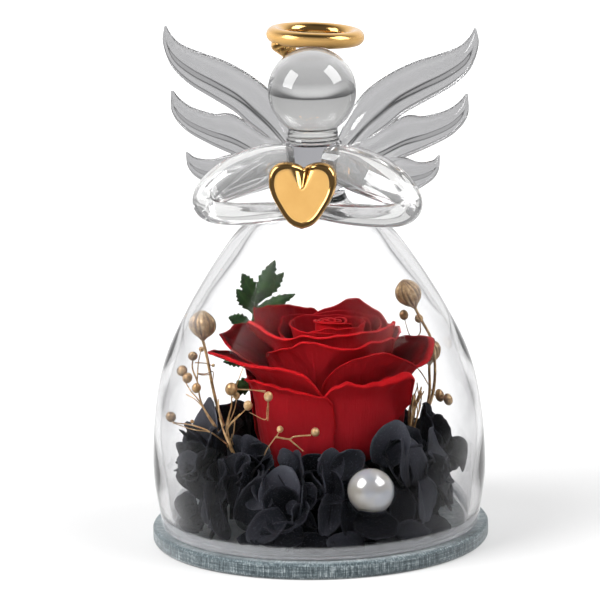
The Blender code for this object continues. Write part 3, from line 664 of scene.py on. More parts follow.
def make_wing(word, side, glass):
    wing = build("wing_of_feathers_" + word, feather_shape("upper", side, 0.0), glass, None)
    for feather, lift in (("middle", -0.15), ("lower", 0.12)):
        combine(wing, build("guide_" + feather, feather_shape(feather, side, lift), glass, None), "UNION")
    combine(wing, torso_guide(119.3, glass), "DIFFERENCE")
    dress(wing, "wing_" + word)


ARM_ROUTE = [(4.5, -4.5, 114.4), (9.5, -5.3, 113.8), (15.0, -6.4, 112.5), (21.5, -8.2, 110.2),
             (27.0, -10.0, 107.2), (30.0, -11.4, 103.7), (28.3, -12.8, 101.1), (23.0, -13.4, 100.2),
             (17.5, -13.8, 100.4), (11.0, -14.2, 101.0), (5.0, -14.9, 101.7), (0.35, -15.2, 102.2)]
ARM_RADII = [5.0, 6.1, 6.5, 6.2, 5.2, 4.2, 3.6, 3.4, 3.3, 3.1, 2.5, 2.2]


def make_arm(word, side, glass):
    """A clear rod from the shoulder round to the hands, with drawn folds by the shoulder."""
    count = 90
    path = smooth_path([(side * x, y, z) for x, y, z in ARM_ROUTE], count)
    radii = [along(ARM_RADII, i / (count - 1)) for i in range(count)]

    def folds(i, angle):
        t = i / (count - 1)
        drape = 0.06 * math.sin(5 * angle + 7 * t) * max(0.0, 1.0 - t / 0.5)
        streak = 0.03 * math.sin(7 * angle + 5.0 * t) + 0.015 * math.sin(13 * angle - 4.0 * t)
        knuckle = 0.03 * math.sin(38 * t + 2 * angle) * math.exp(-((t - 0.42) / 0.07) ** 2)
        return 0.985 + drape + streak + knuckle

    shape = Shape()
    shape.add_tube(path, radii, 40, folds)
    arm = build("arm_rod_" + word, shape, glass, None)
    combine(arm, torso_guide(122.0, glass), "DIFFERENCE")
    dress(arm, "arm_" + word)


# Gilt pieces

HEART_HALF = [(0.0, 0.0), (0.27, 0.05), (0.48, 0.145), (0.68, 0.3), (0.86, 0.46), (0.97, 0.61), (1.0, 0.74),
              (0.95, 0.87), (0.79, 0.965), (0.54, 1.0), (0.3, 0.985), (0.12, 0.95), (0.0, 0.9)]
HEART_CREASE = 5.6
# From the middle of the back round the rim to the face: share of the outline's size and of the depth.
HEART_LAYERS = [(0.02, 0.0), (0.88, 0.0), (0.96, 0.06), (1.0, 0.25), (1.0, 0.62), (0.985, 0.80),
                (0.95, 0.93), (0.90, 1.0), (0.85, 0.99), (0.82, 0.94), (0.79, 0.92)]


def heart_outline(steps):
    half = smooth_profile([(0.5 * x, z) for x, z in HEART_HALF], steps)
    return half + [(-x, z) for x, z in half[-2:0:-1]]


def make_heart(gold):
    """Flat face inside a rounded rim, with a crease that runs down from the notch."""
    outline = heart_outline(48)
    middle_z = 0.55
    layers = HEART_LAYERS + [(0.79 * s / 20, 0.92) for s in range(19, 0, -1)]

    def spot(r, c):
        size, share = layers[r]
        x, z = outline[c]
        rise = HEART_HEIGHT * size * (z - middle_z)
        point = Vector((HEART_WIDTH * size * x, 0.0, HEART_LOW_Z + HEART_HEIGHT * middle_z + rise))
        below = (HEART_LOW_Z + HEART_HEIGHT * 0.9 - point.z) / HEART_CREASE
        crease = 0.0
        if share > 0.5 and below < 1.0:
            width = mix(2.3, 0.5, clamp(below))
            crease = 2.3 * math.exp(-(point.x / width) ** 2) * (1.0 - clamp(below)) ** 0.5
        point.y = mix(HEART_BACK_Y, HEART_FRONT_Y, share) + crease + HEART_LEAN * rise
        satin = 1.0 if size < 0.8 and share > 0.5 else 0.0
        return point, (0.0, 0.0, satin * clamp(1.0 - 2.5 * crease))

    shape = Shape()
    shape.add_closed_grid(*grid_of(len(layers), len(outline), spot))
    build("gold_heart", shape, gold, "polished_gold", ["heart"], sharp=60)


def make_halo(gold):
    turn = Matrix.Translation(HALO_CENTRE) @ Matrix.Rotation(math.radians(HALO_ROLL), 4, "Y") \
        @ Matrix.Rotation(math.radians(HALO_PITCH), 4, "X")
    steps, sides = 96, 40

    def spot(i, k):
        around = 2 * math.pi * i / steps
        angle = 2 * math.pi * k / sides
        reach = HALO_RADIUS + HALO_TUBE * math.cos(angle)
        point = Vector((reach * math.cos(around), reach * math.sin(around), HALO_TUBE * math.sin(angle)))
        # Painted reflection: the tube's outer and lower side gets a light satin band, standing in for the
        # pale floor mirrored there.
        return turn @ point, (0.0, 0.0, 0.8 * clamp(1.6 * math.cos(angle + 0.75) - 0.3))

    shape = Shape()
    rows, marks = grid_of(steps + 1, sides, spot)
    shape.add_grid(rows, marks, wrap=True)
    halo = build("halo_with_stem", shape, gold, None)
    bm = bmesh.new()
    bm.from_mesh(halo.data)
    bmesh.ops.remove_doubles(bm, verts=bm.verts[:], dist=1e-7)
    bmesh.ops.recalc_face_normals(bm, faces=bm.faces[:])
    bm.to_mesh(halo.data)
    bm.free()
    stem = Shape()
    path = smooth_path([(-7.4, 8.4, 142.2), (-8.8, 8.4, 145.8), (-10.8, 8.2, 149.8)], 16)
    stem.add_tube(path, [along([1.5, 2.1, 3.2, 4.0, 2.6], i / 15) for i in range(16)], 28)
    combine(halo, build("guide_stem", stem, gold, None), "UNION")
    ball = Shape()
    ball.add_ball((0.0, 0.0, HEAD_CENTRE_Z), HEAD_RADIUS + 0.1, 96, 48)
    combine(halo, build("guide_ball", ball, gold, None), "DIFFERENCE")
    dress(halo, "halo_ring")


# Base

def make_base(felt):
    edge = []
    for i in range(9):
        angle = math.radians(-90 + 90 * i / 8)
        reach = BASE_RADIUS - BASE_EDGE + BASE_EDGE * math.cos(angle)
        edge.append((reach, BASE_EDGE + BASE_EDGE * math.sin(angle)))
    upper = [(r, BASE_HEIGHT - z) for r, z in reversed(edge)]
    flat = [(r, BASE_HEIGHT) for r in (46.0, 40.0, 30.0, 15.0)]
    shape = Shape()
    shape.add_lathe([(0.0, 0.0), (30.0, 0.0)] + edge + upper + flat + [(0.0, BASE_HEIGHT)], 256)
    for i, point in enumerate(shape.points):
        side = clamp((math.hypot(point.x, point.y) - 48.0) / 2.0)
        if point.z > 0.2 and side > 0:
            bumps = noise.noise(point * 1.3) * 0.12 + noise.noise(point * 0.35) * 0.1
            shape.points[i] = point * (1.0 - 0.0022 * side * (0.5 + bumps * 2))
    build("felt_base", shape, felt, "grey_felt", ["base_board"], sharp=60)


# Rose

def cup_radius(z):
    """Radius of the outermost petal's face above the rose's axis, by height."""
    return straight([(16.0, 14.0), (20.0, 17.0), (26.0, 20.6), (32.0, 22.6), (40.0, 23.8), (48.0, 25.0),
                     (54.0, 27.6), (60.0, 31.0), (66.0, 33.6), (74.0, 36.0)], z)


def petal_foot(layer):
    return ROSE_FOOT_Z + 0.8 + 8.5 * (1.0 - layer)


# Red petals: first and last angle, their layers (1 is the outermost), heights of the rim and how far it rolls
# outwards, both evenly spaced along the petal.
PETALS = {
    "outer_front_left": (-196, -90, 0.97, 0.965, [48, 49, 50, 50, 48], [0.0, 1.2, 1.0, 0.8, 0.3]),
    "outer_front_right": (-101, -38, 0.925, 0.96, [51, 51, 52.2, 52.1, 51.8, 53.2, 53.4],
                          [0.3, 0.5, 0.6, 0.8, 1.2, 2.6, 4.2]),
    "outer_right": (-52, 58, 0.86, 0.90, [46, 50.5, 51, 50, 48], [0.0, 0.4, 0.8, 0.4, 0.0]),
    "outer_back_right": (42, 122, 1.0, 0.965, [48, 52, 53, 52, 50], [0.0, 1.0, 2.0, 2.0, 0.4]),
    "outer_back_left": (108, 167, 1.07, 1.05, [48, 52, 54, 52, 48], [1.5, 2.5, 3.0, 2.0, 0.0]),
    "spread_left": (154, 266, 0.91, 0.88, [56, 56.2, 55.8, 56.0, 55.6, 52], [1.0, 9.5, 4.5, 2.5, 1.6, 0.6]),
    "spread_right": (-104, 58, 0.84, 0.85, [54, 58, 59.5, 59.5, 56, 52.8, 54, 58, 58, 58, 58.5],
                     [0.0, 0.4, 0.6, 0.8, 2.2, 3.2, 3.8, 4.2, 3.2, 2.2, 0.5]),
    "spread_back": (50, 146, 0.77, 0.85, [58, 61, 62, 61, 58], [0.5, 2.5, 3.0, 2.5, 0.8]),
    "cup_left": (112, 206, 0.72, 0.74, [61, 62.8, 62.6, 61.4, 58], [1.0, 4.5, 7.2, 8.5, 4.0]),
    "cup_front": (-176, -38, 0.66, 0.65, [60, 58.5, 59.5, 62, 64, 62.6, 61.8, 62.8, 66],
                  [1.5, 1.2, 0.8, 0.8, 0.9, 1.0, 1.0, 1.5, 2.2]),
    "cup_right": (-40, 62, 0.585, 0.62, [61, 62, 63, 62.5, 62], [0.0, 0.4, 0.8, 0.6, 0.3]),
    "cup_back_right": (16, 120, 0.535, 0.55, [62, 64.2, 68.4, 65.8, 64], [1.4, 1.8, 0.6, 0.4, 0.0]),
    "cup_back_left": (92, 170, 0.63, 0.60, [64.8, 66.6, 67.4, 68.2, 69.5], [0.2, 0.4, 0.6, 1.5, 3.8]),
    "inner_front": (-192, -16, 0.57, 0.54, [69.5, 68.4, 66.8, 64.9, 64.4, 64.6, 64.9, 65.3, 66.2, 66.9, 67],
                    [5.0, 5.2, 3.6, 1.3, 0.4, 0.1, 0.1, 0.3, 0.4, 0.6, 1.0]),
    "inner_back": (-70, 216, 0.43, 0.45, [64.8, 65.2, 65.4, 65.6, 65.4, 64.6],
                   [0.0, 0.2, 0.4, 0.6, 1.0, 0.4]),
    "heart_left": (-20, 312, 0.36, 0.35, [64.6, 65.2, 65.4, 65.4, 65.2, 64.8],
                   [0.0, 0.2, 0.6, 0.8, 0.6, 0.2]),
    "heart_right": (-150, 110, 0.275, 0.28, [65.0, 65.4, 65.6, 65.6, 65.2], [0.0, 0.2, 0.3, 0.2, 0.0]),
}
# How far the rim of a petal is curled over: the sizes of the curl along it and how far round it goes.
CURLS = {"outer_front_left": ([0.75, 0.75], 140),
         "outer_front_right": ([0.6, 0.6, 0.6, 0.8, 1.5, 1.6], 200),
         "outer_right": ([0.6, 0.6], 110),
         "spread_left": ([1.1, 1.1], 150),
         "spread_right": ([0.7, 0.7, 1.2, 1.1], 140),
         "cup_front": ([0.7, 0.7, 0.8, 1.0], 150),
         "cup_left": ([0.6, 0.9], 130),
         "inner_front": ([1.0, 0.8, 0.8], 150),
         "inner_back": ([0.4, 0.4], 90),
         "heart_left": ([0.4, 0.4], 90),
         "heart_right": ([0.4, 0.4], 90)}
# How far below the rim the outward roll of a petal begins.
ROLL_REACH = {"cup_left": 15.0, "spread_left": 8.5, "spread_right": 9.0, "inner_front": 8.0}
# How much painted shade darkens a petal, standing in for the shade its neighbours cast.
PAINTED_PETAL_SHADE = {"outer_right": 0.65, "spread_right": 0.2, "cup_left": 0.45, "outer_back_right": 0.4,
          "inner_back": 0.15}
# Petals whose last end is cut straight down.
SQUARE_ENDS = ("outer_front_left", "outer_front_right", "cup_front", "inner_front", "cup_back_left")
PETAL_SKIN = 0.45


def wave(u, seed, counts=(1.7, 3.6, 7.3), sizes=(0.5, 0.35, 0.2)):
    """A sum of smooth waves along a rim, about 1 high at most."""
    total = 0.0
    for i, (count, size) in enumerate(zip(counts, sizes)):
        total += size * math.sin(2 * math.pi * (count * u) + seed * (i + 1) * 2.1)
    return total


def petal_rows(name, spec, columns, rows):
    """Rows of points of a rose petal, with a ruffled rim that curls outwards."""
    first, last, layer0, layer1, rims, rolls = spec
    seed = 1.0 + sum(map(ord, name)) % 17
    curl_sizes, curl_angle = CURLS.get(name, ([0.55, 0.55], 100))
    reach = ROLL_REACH.get(name, 7.0)
    ruffled = clamp(layer0 * 2.2 - 0.5)
    curl_rows = 6

    def spot(r, c):
        v = min(r / rows, 1.0) ** 0.8
        u = c / columns
        angle = math.radians(mix(first, last, u))
        layer = mix(layer0, layer1, u)
        curl = along(curl_sizes, u) * math.sin(math.pi * u) ** 0.35
        corner = 30 if u > 0.5 and name in SQUARE_ENDS else 7
        drop = mix(1.2, 9.0, ruffled) * abs(2 * u - 1) ** corner
        rim = along(rims, u) - drop + mix(0.2, 0.6, ruffled) * wave(u, seed) - curl
        z = mix(petal_foot(layer), rim, v)
        near = max(0.0, 1.0 - (rim - z) / reach) ** 2
        near_ruffle = max(0.0, 1.0 - (rim - z) / 7.0) ** 2
        ruffle = mix(0.2, 0.5, ruffled) * wave(u, seed + 3, (2.3, 5.1, 9.0)) * near_ruffle
        radius = layer * cup_radius(z) + along(rolls, u) * near + ruffle
        radius += 0.2 * wave(u * 2.2, seed + 5, (5.3, 11.0, 19.0)) * (1.0 - 0.8 * v)
        over = max(0, r - rows)
        if over:
            turn = math.radians(curl_angle) * over / curl_rows
            radius += curl * (1.0 - math.cos(turn))
            z += curl * math.sin(turn)
        point = Vector((ROSE_X + radius * math.cos(angle), radius * math.sin(angle), z))
        point += Vector(noise.noise_vector(point * 0.12)) * 1.0 * v * v
        point += Vector(noise.noise_vector(point * 0.38)) * 0.35 * v
        return point, (u, v * 0.94 + 0.06 * over / curl_rows, PAINTED_PETAL_SHADE.get(name, 0.0))

    return grid_of(rows + curl_rows + 1, columns + 1, spot)


def make_petals(red):
    for name, spec in PETALS.items():
        shape = Shape()
        columns = max(20, round(abs(spec[1] - spec[0]) / 2.4))
        shape.add_grid(*petal_rows(name, spec, columns, 22))
        build("rose_" + name, shape, red, "red_petal", ["petal_" + name], bouquet=True, thickness=PETAL_SKIN,
              sharp=70)


# Blades of the rolled heart: radius, first and last angle, height of the rim.
BUD_BLADES = [(0.6, 0, 330, 65.8), (2.1, 150, 400, 66.0), (2.4, -30, 190, 65.7), (3.9, 60, 300, 66.0),
              (4.2, -120, 100, 65.6), (5.6, 120, 350, 65.8)]


def make_bud(red, calyx):
    """The rolled heart of the rose: small blades one inside another, on the receptacle."""
    foot = petal_foot(0.0)
    shape = Shape()
    for k, (size, first, last, tall) in enumerate(BUD_BLADES):
        columns, rows, curl_rows = 60, 16, 3

        def spot(r, c):
            v = min(r / rows, 1.0)
            u = c / columns
            angle = math.radians(mix(first, last, u))
            rim = tall + 0.25 * math.sin(5 * u + k) - 1.2 * abs(2 * u - 1) ** 6
            z = mix(foot, rim, v)
            swell = 0.62 + 0.38 * math.sin(math.pi * clamp((z - foot) / 42.0) ** 0.8)
            radius = (size + 0.9 * u) * swell * (1.0 + 0.16 * clamp((z - 62.0) / 5.0))
            over = max(0, r - rows) / curl_rows
            radius += 0.5 * (1.0 - math.cos(math.pi * over * 0.6))
            z += 0.3 * math.sin(math.pi * over * 0.6)
            return Vector((ROSE_X + radius * math.cos(angle), radius * math.sin(angle), z)), (u, v, 0.0)

        shape.add_grid(*grid_of(rows + curl_rows + 1, columns + 1, spot))
    build("rose_heart_coil", shape, red, "red_petal", ["rose_bud"], bouquet=True, thickness=0.35, sharp=70)
    cone = [(0.0, FOAM_TOP_Z + 0.3), (7.0, FOAM_TOP_Z + 0.3), (12.0, 17.0), (17.6, ROSE_FOOT_Z)]
    for layer in (0.8, 0.5, 0.2):
        foot = petal_foot(layer) - 0.45
        cone.append((layer * cup_radius(foot), foot))
    cone.append((0.0, petal_foot(0.0) - 0.3))
    shape = Shape()
    shape.add_lathe(cone, 48, centre=(ROSE_X, 0.0, 0.0))
    build("receptacle", shape, calyx, "green_calyx", ["rose_receptacle"], bouquet=True)


def make_foam(material):
    profile = [(0.0, BASE_HEIGHT + 0.3), (FOAM_RADIUS, BASE_HEIGHT + 0.3), (FOAM_RADIUS, FOAM_TOP_Z - 1.0),
               (FOAM_RADIUS - 1.0, FOAM_TOP_Z), (0.0, FOAM_TOP_Z)]
    shape = Shape()
    shape.add_lathe(profile, 64)
    build("foam_block", shape, material, "dark_foam", ["floral_foam"], bouquet=True)


# Hydrangea

def inner_skirt(z):
    return 26.5 + 0.008 * max(0.0, z - 12.0) ** 2 + 0.1 * max(0.0, z - 12.0)


def middle_skirt(z):
    return inner_skirt(z) + 4.6


def outer_skirt(z):
    return 39.3 + 0.009 * (z - 21.0) ** 2


# Florets of each layer: angle round the rose, height, size and how far the cross of petals is rolled.
INNER_FLORETS = [(-176, 31.0, 12.5, 40), (-131, 27.0, 12.0, 50), (-86.5, 24.5, 11.0, 44),
                 (-41.5, 27.0, 12.5, 48), (3.5, 29.5, 12.5, 42), (48.5, 27.0, 11.5, 47),
                 (93.5, 26.0, 11.5, 43), (138.5, 28.0, 12.0, 50)]
MIDDLE_FLORETS = [(-160, 28.0, 13.0, 46), (-123, 23.0, 11.5, 40), (-92, 17.0, 9.5, 50),
                  (-32, 25.0, 12.5, 43), (8, 26.0, 12.5, 47), (120, 24.0, 12.5, 45)]
OUTER_FLORETS = [(-184, 25.0, 13.5, 46), (-144, 22.0, 13.5, 42), (-104, 17.0, 13.5, 48),
                 (-24, 19.0, 13.5, 45), (16, 24.0, 13.5, 43), (56, 21.0, 13.0, 47),
                 (96, 19.0, 13.0, 44), (136, 20.0, 13.0, 46)]


# Petals that stand out in front: place, the way the tip points as seen from the front (90 is up), how far
# the face is turned to the figure's left and upwards, length, width, cup and curl of the tip.
FRONT_PETALS = [
    (-33.4, -8.0, 37.5, 100, 20, 5, 14.5, 14.0, 0.10, -0.10),
    (-27.0, -11.0, 34.6, 60, -50, 10, 12.0, 9.0, 0.30, -0.15),
    (-37.0, -13.0, 25.2, 165, 10, 25, 12.0, 9.0, 0.25, 0.25),
    (-35.3, -18.0, 19.6, -75, 25, -5, 12.0, 9.0, 0.20, -0.20),
    (-38.2, -18.5, 14.2, 178, 0, 35, 11.0, 8.0, 0.25, 0.20),
    (-30.7, -26.5, 17.0, -62, -35, 0, 13.0, 8.5, 0.35, 0.10),
    (-24.2, -27.0, 22.6, 95, -25, 8, 14.0, 9.5, 0.28, -0.10),
    (-23.6, -25.0, 28.6, 20, 10, 35, 10.0, 8.0, 0.20, 0.30),
    (-18.2, -24.5, 31.5, 118, 30, 10, 14.0, 8.0, 0.22, 0.05),
    (-19.2, -31.0, 19.8, 62, 35, 5, 15.0, 9.0, 0.30, 0.12),
    (-11.4, -33.5, 22.6, 80, 10, 4, 15.0, 12.5, 0.16, -0.10),
    (-9.0, -29.5, 30.8, 120, 0, 20, 8.0, 6.0, 0.25, 0.20),
    (-6.2, -30.0, 28.9, 92, -30, 5, 11.0, 7.0, 0.30, 0.10),
    (-3.9, -33.8, 20.0, 88, -72, 0, 15.0, 9.0, 0.25, 0.06),
    (3.4, -29.3, 29.4, 70, 20, 15, 10.0, 9.0, 0.25, 0.10),
    (8.4, -28.5, 29.2, 40, -10, 25, 11.0, 9.0, 0.22, 0.15),
    (20.6, -24.5, 34.3, 64, -30, 10, 14.5, 11.6, 0.26, 0.10),
    (27.2, -24.5, 29.0, 82, 4, 6, 16.5, 13.0, 0.14, -0.12),
    (34.6, -11.0, 30.6, 12, -5, 20, 15.0, 12.0, 0.18, -0.15),
    (36.2, -13.0, 22.6, 4, 15, 15, 13.0, 8.5, 0.26, 0.10),
    (35.0, -17.0, 16.0, -40, 20, 5, 12.0, 9.5, 0.30, 0.15),
    (29.6, -26.0, 16.2, -80, 12, 8, 14.0, 12.0, 0.14, -0.12),
    (23.4, -30.5, 15.6, -95, -35, 0, 11.0, 7.5, 0.28, 0.10),
    (15.8, -36.5, 12.8, -15, -10, 20, 13.0, 9.0, 0.24, 0.15),
    (7.6, -36.0, 14.6, -88, 15, 5, 11.0, 7.0, 0.30, 0.05),
    (-15.4, -37.0, 12.8, 222, 10, 15, 13.0, 9.0, 0.26, 0.12),
    (-11.4, -38.8, 10.2, 190, -5, 30, 14.0, 8.5, 0.25, 0.10),
    (-27.0, -32.5, 13.9, -48, -20, 5, 12.0, 8.5, 0.30, 0.15),
    (-37.0, -21.0, 9.6, 185, 0, 45, 12.0, 8.0, 0.15, 0.05),
    (-18.4, -39.0, 8.2, 200, 0, 55, 12.0, 8.0, 0.20, 0.05),
    (-2.0, -40.5, 8.4, 10, 0, 50, 12.0, 8.5, 0.20, 0.08),
    (7.0, -40.0, 8.6, 170, 0, 45, 11.0, 8.0, 0.20, 0.05),
    (26.0, -33.5, 8.8, -10, 0, 45, 12.0, 8.0, 0.20, 0.05),
    (33.6, -24.0, 9.4, 20, 0, 45, 11.0, 8.0, 0.20, 0.05),
    (1.5, -34.5, 15.5, 250, 20, 10, 12.0, 8.0, 0.35, 0.10),
    (-5.5, -36.5, 13.5, 100, 40, 10, 12.0, 8.0, 0.30, 0.10),
]
FILL_PETALS = 90


def dome_inner_radius(z):
    """Radius of the dome's inner face by height."""
    return straight(sorted((high, r) for r, high in DOME_INSIDE), z)


def keep_clear(point):
    """Presses a petal's point away from the rose, foam, pearl, base and glass."""
    low = BASE_HEIGHT + 0.7
    if point.z < low:
        point.z = low + 0.08 * (low - point.z)
    body = 1.07 * cup_radius(point.z) + 1.0 if point.z > FOAM_TOP_Z + 1 else FOAM_RADIUS + 1.0
    centre = Vector((ROSE_X if point.z > FOAM_TOP_Z + 1 else 0.0, 0.0, point.z))
    away = point - centre
    if away.length < body:
        point = centre + away.normalized() * (body + 0.1 * (body - away.length) ** 0.5)
    away = point - PEARL_CENTRE
    if away.length < PEARL_RADIUS + 0.7:
        point = PEARL_CENTRE + away.normalized() * (PEARL_RADIUS + 0.7)
    limit = min(dome_inner_radius(point.z), 46.3) - 1.0
    reach = math.hypot(point.x, point.y)
    if reach > limit:
        point = Vector((point.x * limit / reach, point.y * limit / reach, point.z))
    return point


def black_petal(shape, frame, length, width, cup, bend, rng, crumple=1.0, light=None):
    """One broad crumpled petal: frame's X is across, Y runs from claw to tip and Z is its face."""
    rows, columns = 14, 12
    seed = rng.uniform(0, 6)
    random_painted_light = rng.uniform(0.0, 1.0) ** 3.0 * 0.4
    # Painted light: a petal's tone mark is a random amount unless given.
    light = random_painted_light if light is None else light
    twist = rng.uniform(-0.5, 0.5) * crumple
    waves = rng.uniform(5.0, 8.0)

    def spot(r, c):
        v = r / rows
        u = 2 * c / columns - 1
        half = 0.5 * width * (0.14 + 0.86 * math.sin(math.pi * min(1.0, v * 0.92 + 0.06) ** 0.9) ** 0.6)
        ripple = 0.06 * crumple * abs(u) ** 2.5 * math.sin(waves * v + seed + (2.2 if u > 0 else 0.0))
        crease = -0.05 * math.exp(-(u / 0.16) ** 2) * (1 - v)
        lift = cup * 0.6 * u * u * math.sin(math.pi * min(v + 0.1, 1.0)) ** 0.5
        rise = length * (lift + bend * v * v + ripple + crease + twist * 0.18 * u * v)
        x = half * u * (1.0 - 0.1 * cup * abs(u))
        y = length * (v - 0.03 * abs(u) ** 2 * v)
        point = frame @ Vector((x, y, rise))
        point += Vector(noise.noise_vector(point * 0.3)) * 0.5 * crumple
        point += Vector(noise.noise_vector(point * 0.9)) * 0.1
        # Painted light: the tone rises towards the tip and on the rim, where the petal is lit.
        rim = clamp((max(abs(u), v) - 0.86) / 0.14)
        return keep_clear(point), (u, v + seed, clamp(light * (0.3 + 0.7 * v) + 0.22 * rim))

    shape.add_grid(*grid_of(rows + 1, columns + 1, spot))


def face_frame(origin, normal, direction):
    """A frame at origin with Z along normal and Y as near direction as that allows."""
    z = normal.normalized()
    y = (direction - z * direction.dot(z)).normalized()
    x = y.cross(z)
    return frame_of(x, y, z, origin)


def outward(point, turn, lift):
    """Unit vector away from the ring's axis at a point, turned about Z and lifted, both in degrees."""
    angle = math.atan2(point.y, point.x) + math.radians(turn)
    rise = math.radians(lift)
    return Vector((math.cos(angle) * math.cos(rise), math.sin(angle) * math.cos(rise), math.sin(rise)))


def floret_centre(spec, skirt):
    angle, height = math.radians(spec[0]), spec[1]
    r = skirt(height) - 1.4
    return Vector((r * math.cos(angle), r * math.sin(angle), height))


def add_floret(shape, spec, skirt, rng):
    """Four petals about a centre on the skirt, with a stalk down to the base."""
    angle, height, size, roll = spec
    a = math.radians(angle)
    centre = floret_centre(spec, skirt)
    if skirt == outer_skirt and math.sin(a) < -0.3:
        centre -= Vector((math.cos(a), math.sin(a), 0.0)) * 4.0
        size *= 0.85
    out = Vector((math.cos(a), math.sin(a), 0.35)).normalized()
    side = Vector((-math.sin(a), math.cos(a), 0.0))
    up = side.cross(out) if side.cross(out).z > 0 else out.cross(side)
    for k in range(4):
        turn = math.radians(roll) + math.pi / 2 * k + rng.uniform(-0.25, 0.25)
        direction = side * math.cos(turn) + up * math.sin(turn)
        normal = (out - direction * rng.uniform(0.0, 0.75) + side * rng.uniform(-0.5, 0.5)).normalized()
        start = centre + out * rng.uniform(-0.8, 0.6)
        black_petal(shape, face_frame(start, normal, direction), size * rng.uniform(0.85, 1.0),
                    size * rng.uniform(0.75, 1.0), rng.uniform(0.15, 0.5), rng.uniform(-0.2, 0.3), rng)
    foot = Vector((skirt(6.0) * math.cos(a), skirt(6.0) * math.sin(a), BASE_HEIGHT + 0.4))
    inward = Vector((math.cos(a), math.sin(a), 0)) * 1.6
    path = smooth_path([centre - inward, centre.lerp(foot, 0.5) - inward, foot - inward], 8)
    shape.add_tube([keep_clear(p) for p in path], [0.5] * 8, 6)


def add_front_petal(shape, spec, rng):
    x, y, z, heading, turn, lift, length, width, cup, bend = spec
    middle = Vector((x, y, z))
    normal = outward(middle, turn, lift)
    across = Vector((-normal.y, normal.x, 0.0)).normalized()
    if across.x < 0:
        across = -across
    heading = math.radians(heading)
    direction = across * math.cos(heading) + Vector((0.0, 0.0, 1.0)) * math.sin(heading)
    start = middle - direction * length * 0.5
    # Painted light: petals turned towards the front, and the broad ones, get more painted light.
    light = rng.uniform(0.0, 0.45) * clamp(1.3 - abs(turn) / 60) + (0.42 if width > 11.5 else 0.0)
    black_petal(shape, face_frame(start, normal, direction), length, width, cup, bend, rng, 0.45, light)


def add_fill_petal(shape, rng):
    """A crumpled petal somewhere in the heap, standing more or less upright."""
    angle = rng.uniform(-math.pi, math.pi)
    height = rng.uniform(8.0, 27.0)
    front = max(0.0, -math.sin(angle))
    reach = rng.uniform(28.5, mix(40.5 - 0.12 * height, 34.0, front))
    middle = Vector((reach * math.cos(angle), reach * math.sin(angle), height))
    if (middle - PEARL_CENTRE).length < 12.0:
        middle -= Vector((math.cos(angle), math.sin(angle), 0.0)) * 6.0
    normal = outward(middle, rng.uniform(-75, 75), rng.uniform(-10, 50))
    heading = math.radians(rng.uniform(20, 160))
    across = Vector((-normal.y, normal.x, 0.0)).normalized()
    direction = across * math.cos(heading) + Vector((0.0, 0.0, 1.0)) * math.sin(heading)
    length = rng.uniform(9.0, 12.5)
    start = middle - direction * length * 0.5
    black_petal(shape, face_frame(start, normal, direction), length, length * rng.uniform(0.6, 0.9),
                rng.uniform(0.2, 0.6), rng.uniform(-0.25, 0.35), rng)


def make_florets(black):
    rng = random.Random(4)
    layers = (("inner", INNER_FLORETS, inner_skirt), ("middle", MIDDLE_FLORETS, middle_skirt),
              ("outer", OUTER_FLORETS, outer_skirt))
    florets = []
    for word, specs, skirt in layers:
        for i, spec in enumerate(specs):
            shape = Shape()
            add_floret(shape, spec, skirt, rng)
            florets.append(("%s_%d" % (word, i + 1), floret_centre(spec, skirt), shape))
    for spec in FRONT_PETALS:
        nearest = min(florets, key=lambda floret: (floret[1] - Vector(spec[:3])).length)
        add_front_petal(nearest[2], spec, rng)
    for i in range(FILL_PETALS):
        add_fill_petal(florets[i % len(florets)][2], rng)
    for name, centre, shape in florets:
        build("black_floret_" + name, shape, black, "black_petal", ["hydrangea_" + name], bouquet=True,
              thickness=0.3, sharp=80)


# Dry sprigs, leaf and pearl

PODS = {
    "seed_pod_left": [(-22.0, -9.0, FOAM_TOP_Z + 0.3), (-25.5, -9.0, 30.0), (-31.0, -5.0, 46.5),
                      (-33.7, -1.0, 60.5)],
    "seed_pod_right_upper": [(21.9, 9.8, FOAM_TOP_Z + 0.3), (28.2, 12.6, 27.8), (35.5, 14.0, 42.0),
                             (35.0, 11.5, 55.0), (29.4, 7.8, 68.0)],
    "seed_pod_right_lower": [(21.4, 12.0, FOAM_TOP_Z + 0.3), (27.0, 14.8, 26.5), (33.5, 19.0, 37.0),
                             (34.6, 17.6, 46.0)],
}
POD_TIPS = {
    "seed_pod_left": (-33.3, -0.6, 71.0),
    "seed_pod_right_upper": (25.2, 5.6, 78.4),
    "seed_pod_right_lower": (34.2, 15.6, 56.4),
}
POD_LENGTH = 9.4
POD_RADII = [0.6, 1.3, 2.3, 3.1, 3.65, 3.95, 4.05, 4.0, 3.7, 3.1, 2.1, 0.7]


def make_pods(straw):
    for name, route in PODS.items():
        shape = Shape()
        stem = smooth_path(route, 30)
        shape.add_tube(stem, [0.45] * 30, 8)
        start = Vector(route[-1])
        axis = (Vector(POD_TIPS[name]) - start).normalized() * POD_LENGTH
        count = 40
        path = [start + axis * (i / (count - 1)) for i in range(count)]
        radii = [along(POD_RADII, i / (count - 1)) for i in range(count)]

        def ribs(i, angle):
            uneven = 0.6 + 0.4 * math.sin(5 * angle + 0.12 * i)
            return 1.0 - 0.11 * uneven * (0.5 - 0.5 * math.cos(17 * angle + 0.03 * i)) ** 1.5

        shape.add_tube(path, radii, 136, ribs, groove=9.0)
        build("gilt_" + name, shape, straw, "gold_straw", [name], bouquet=True, sharp=60)


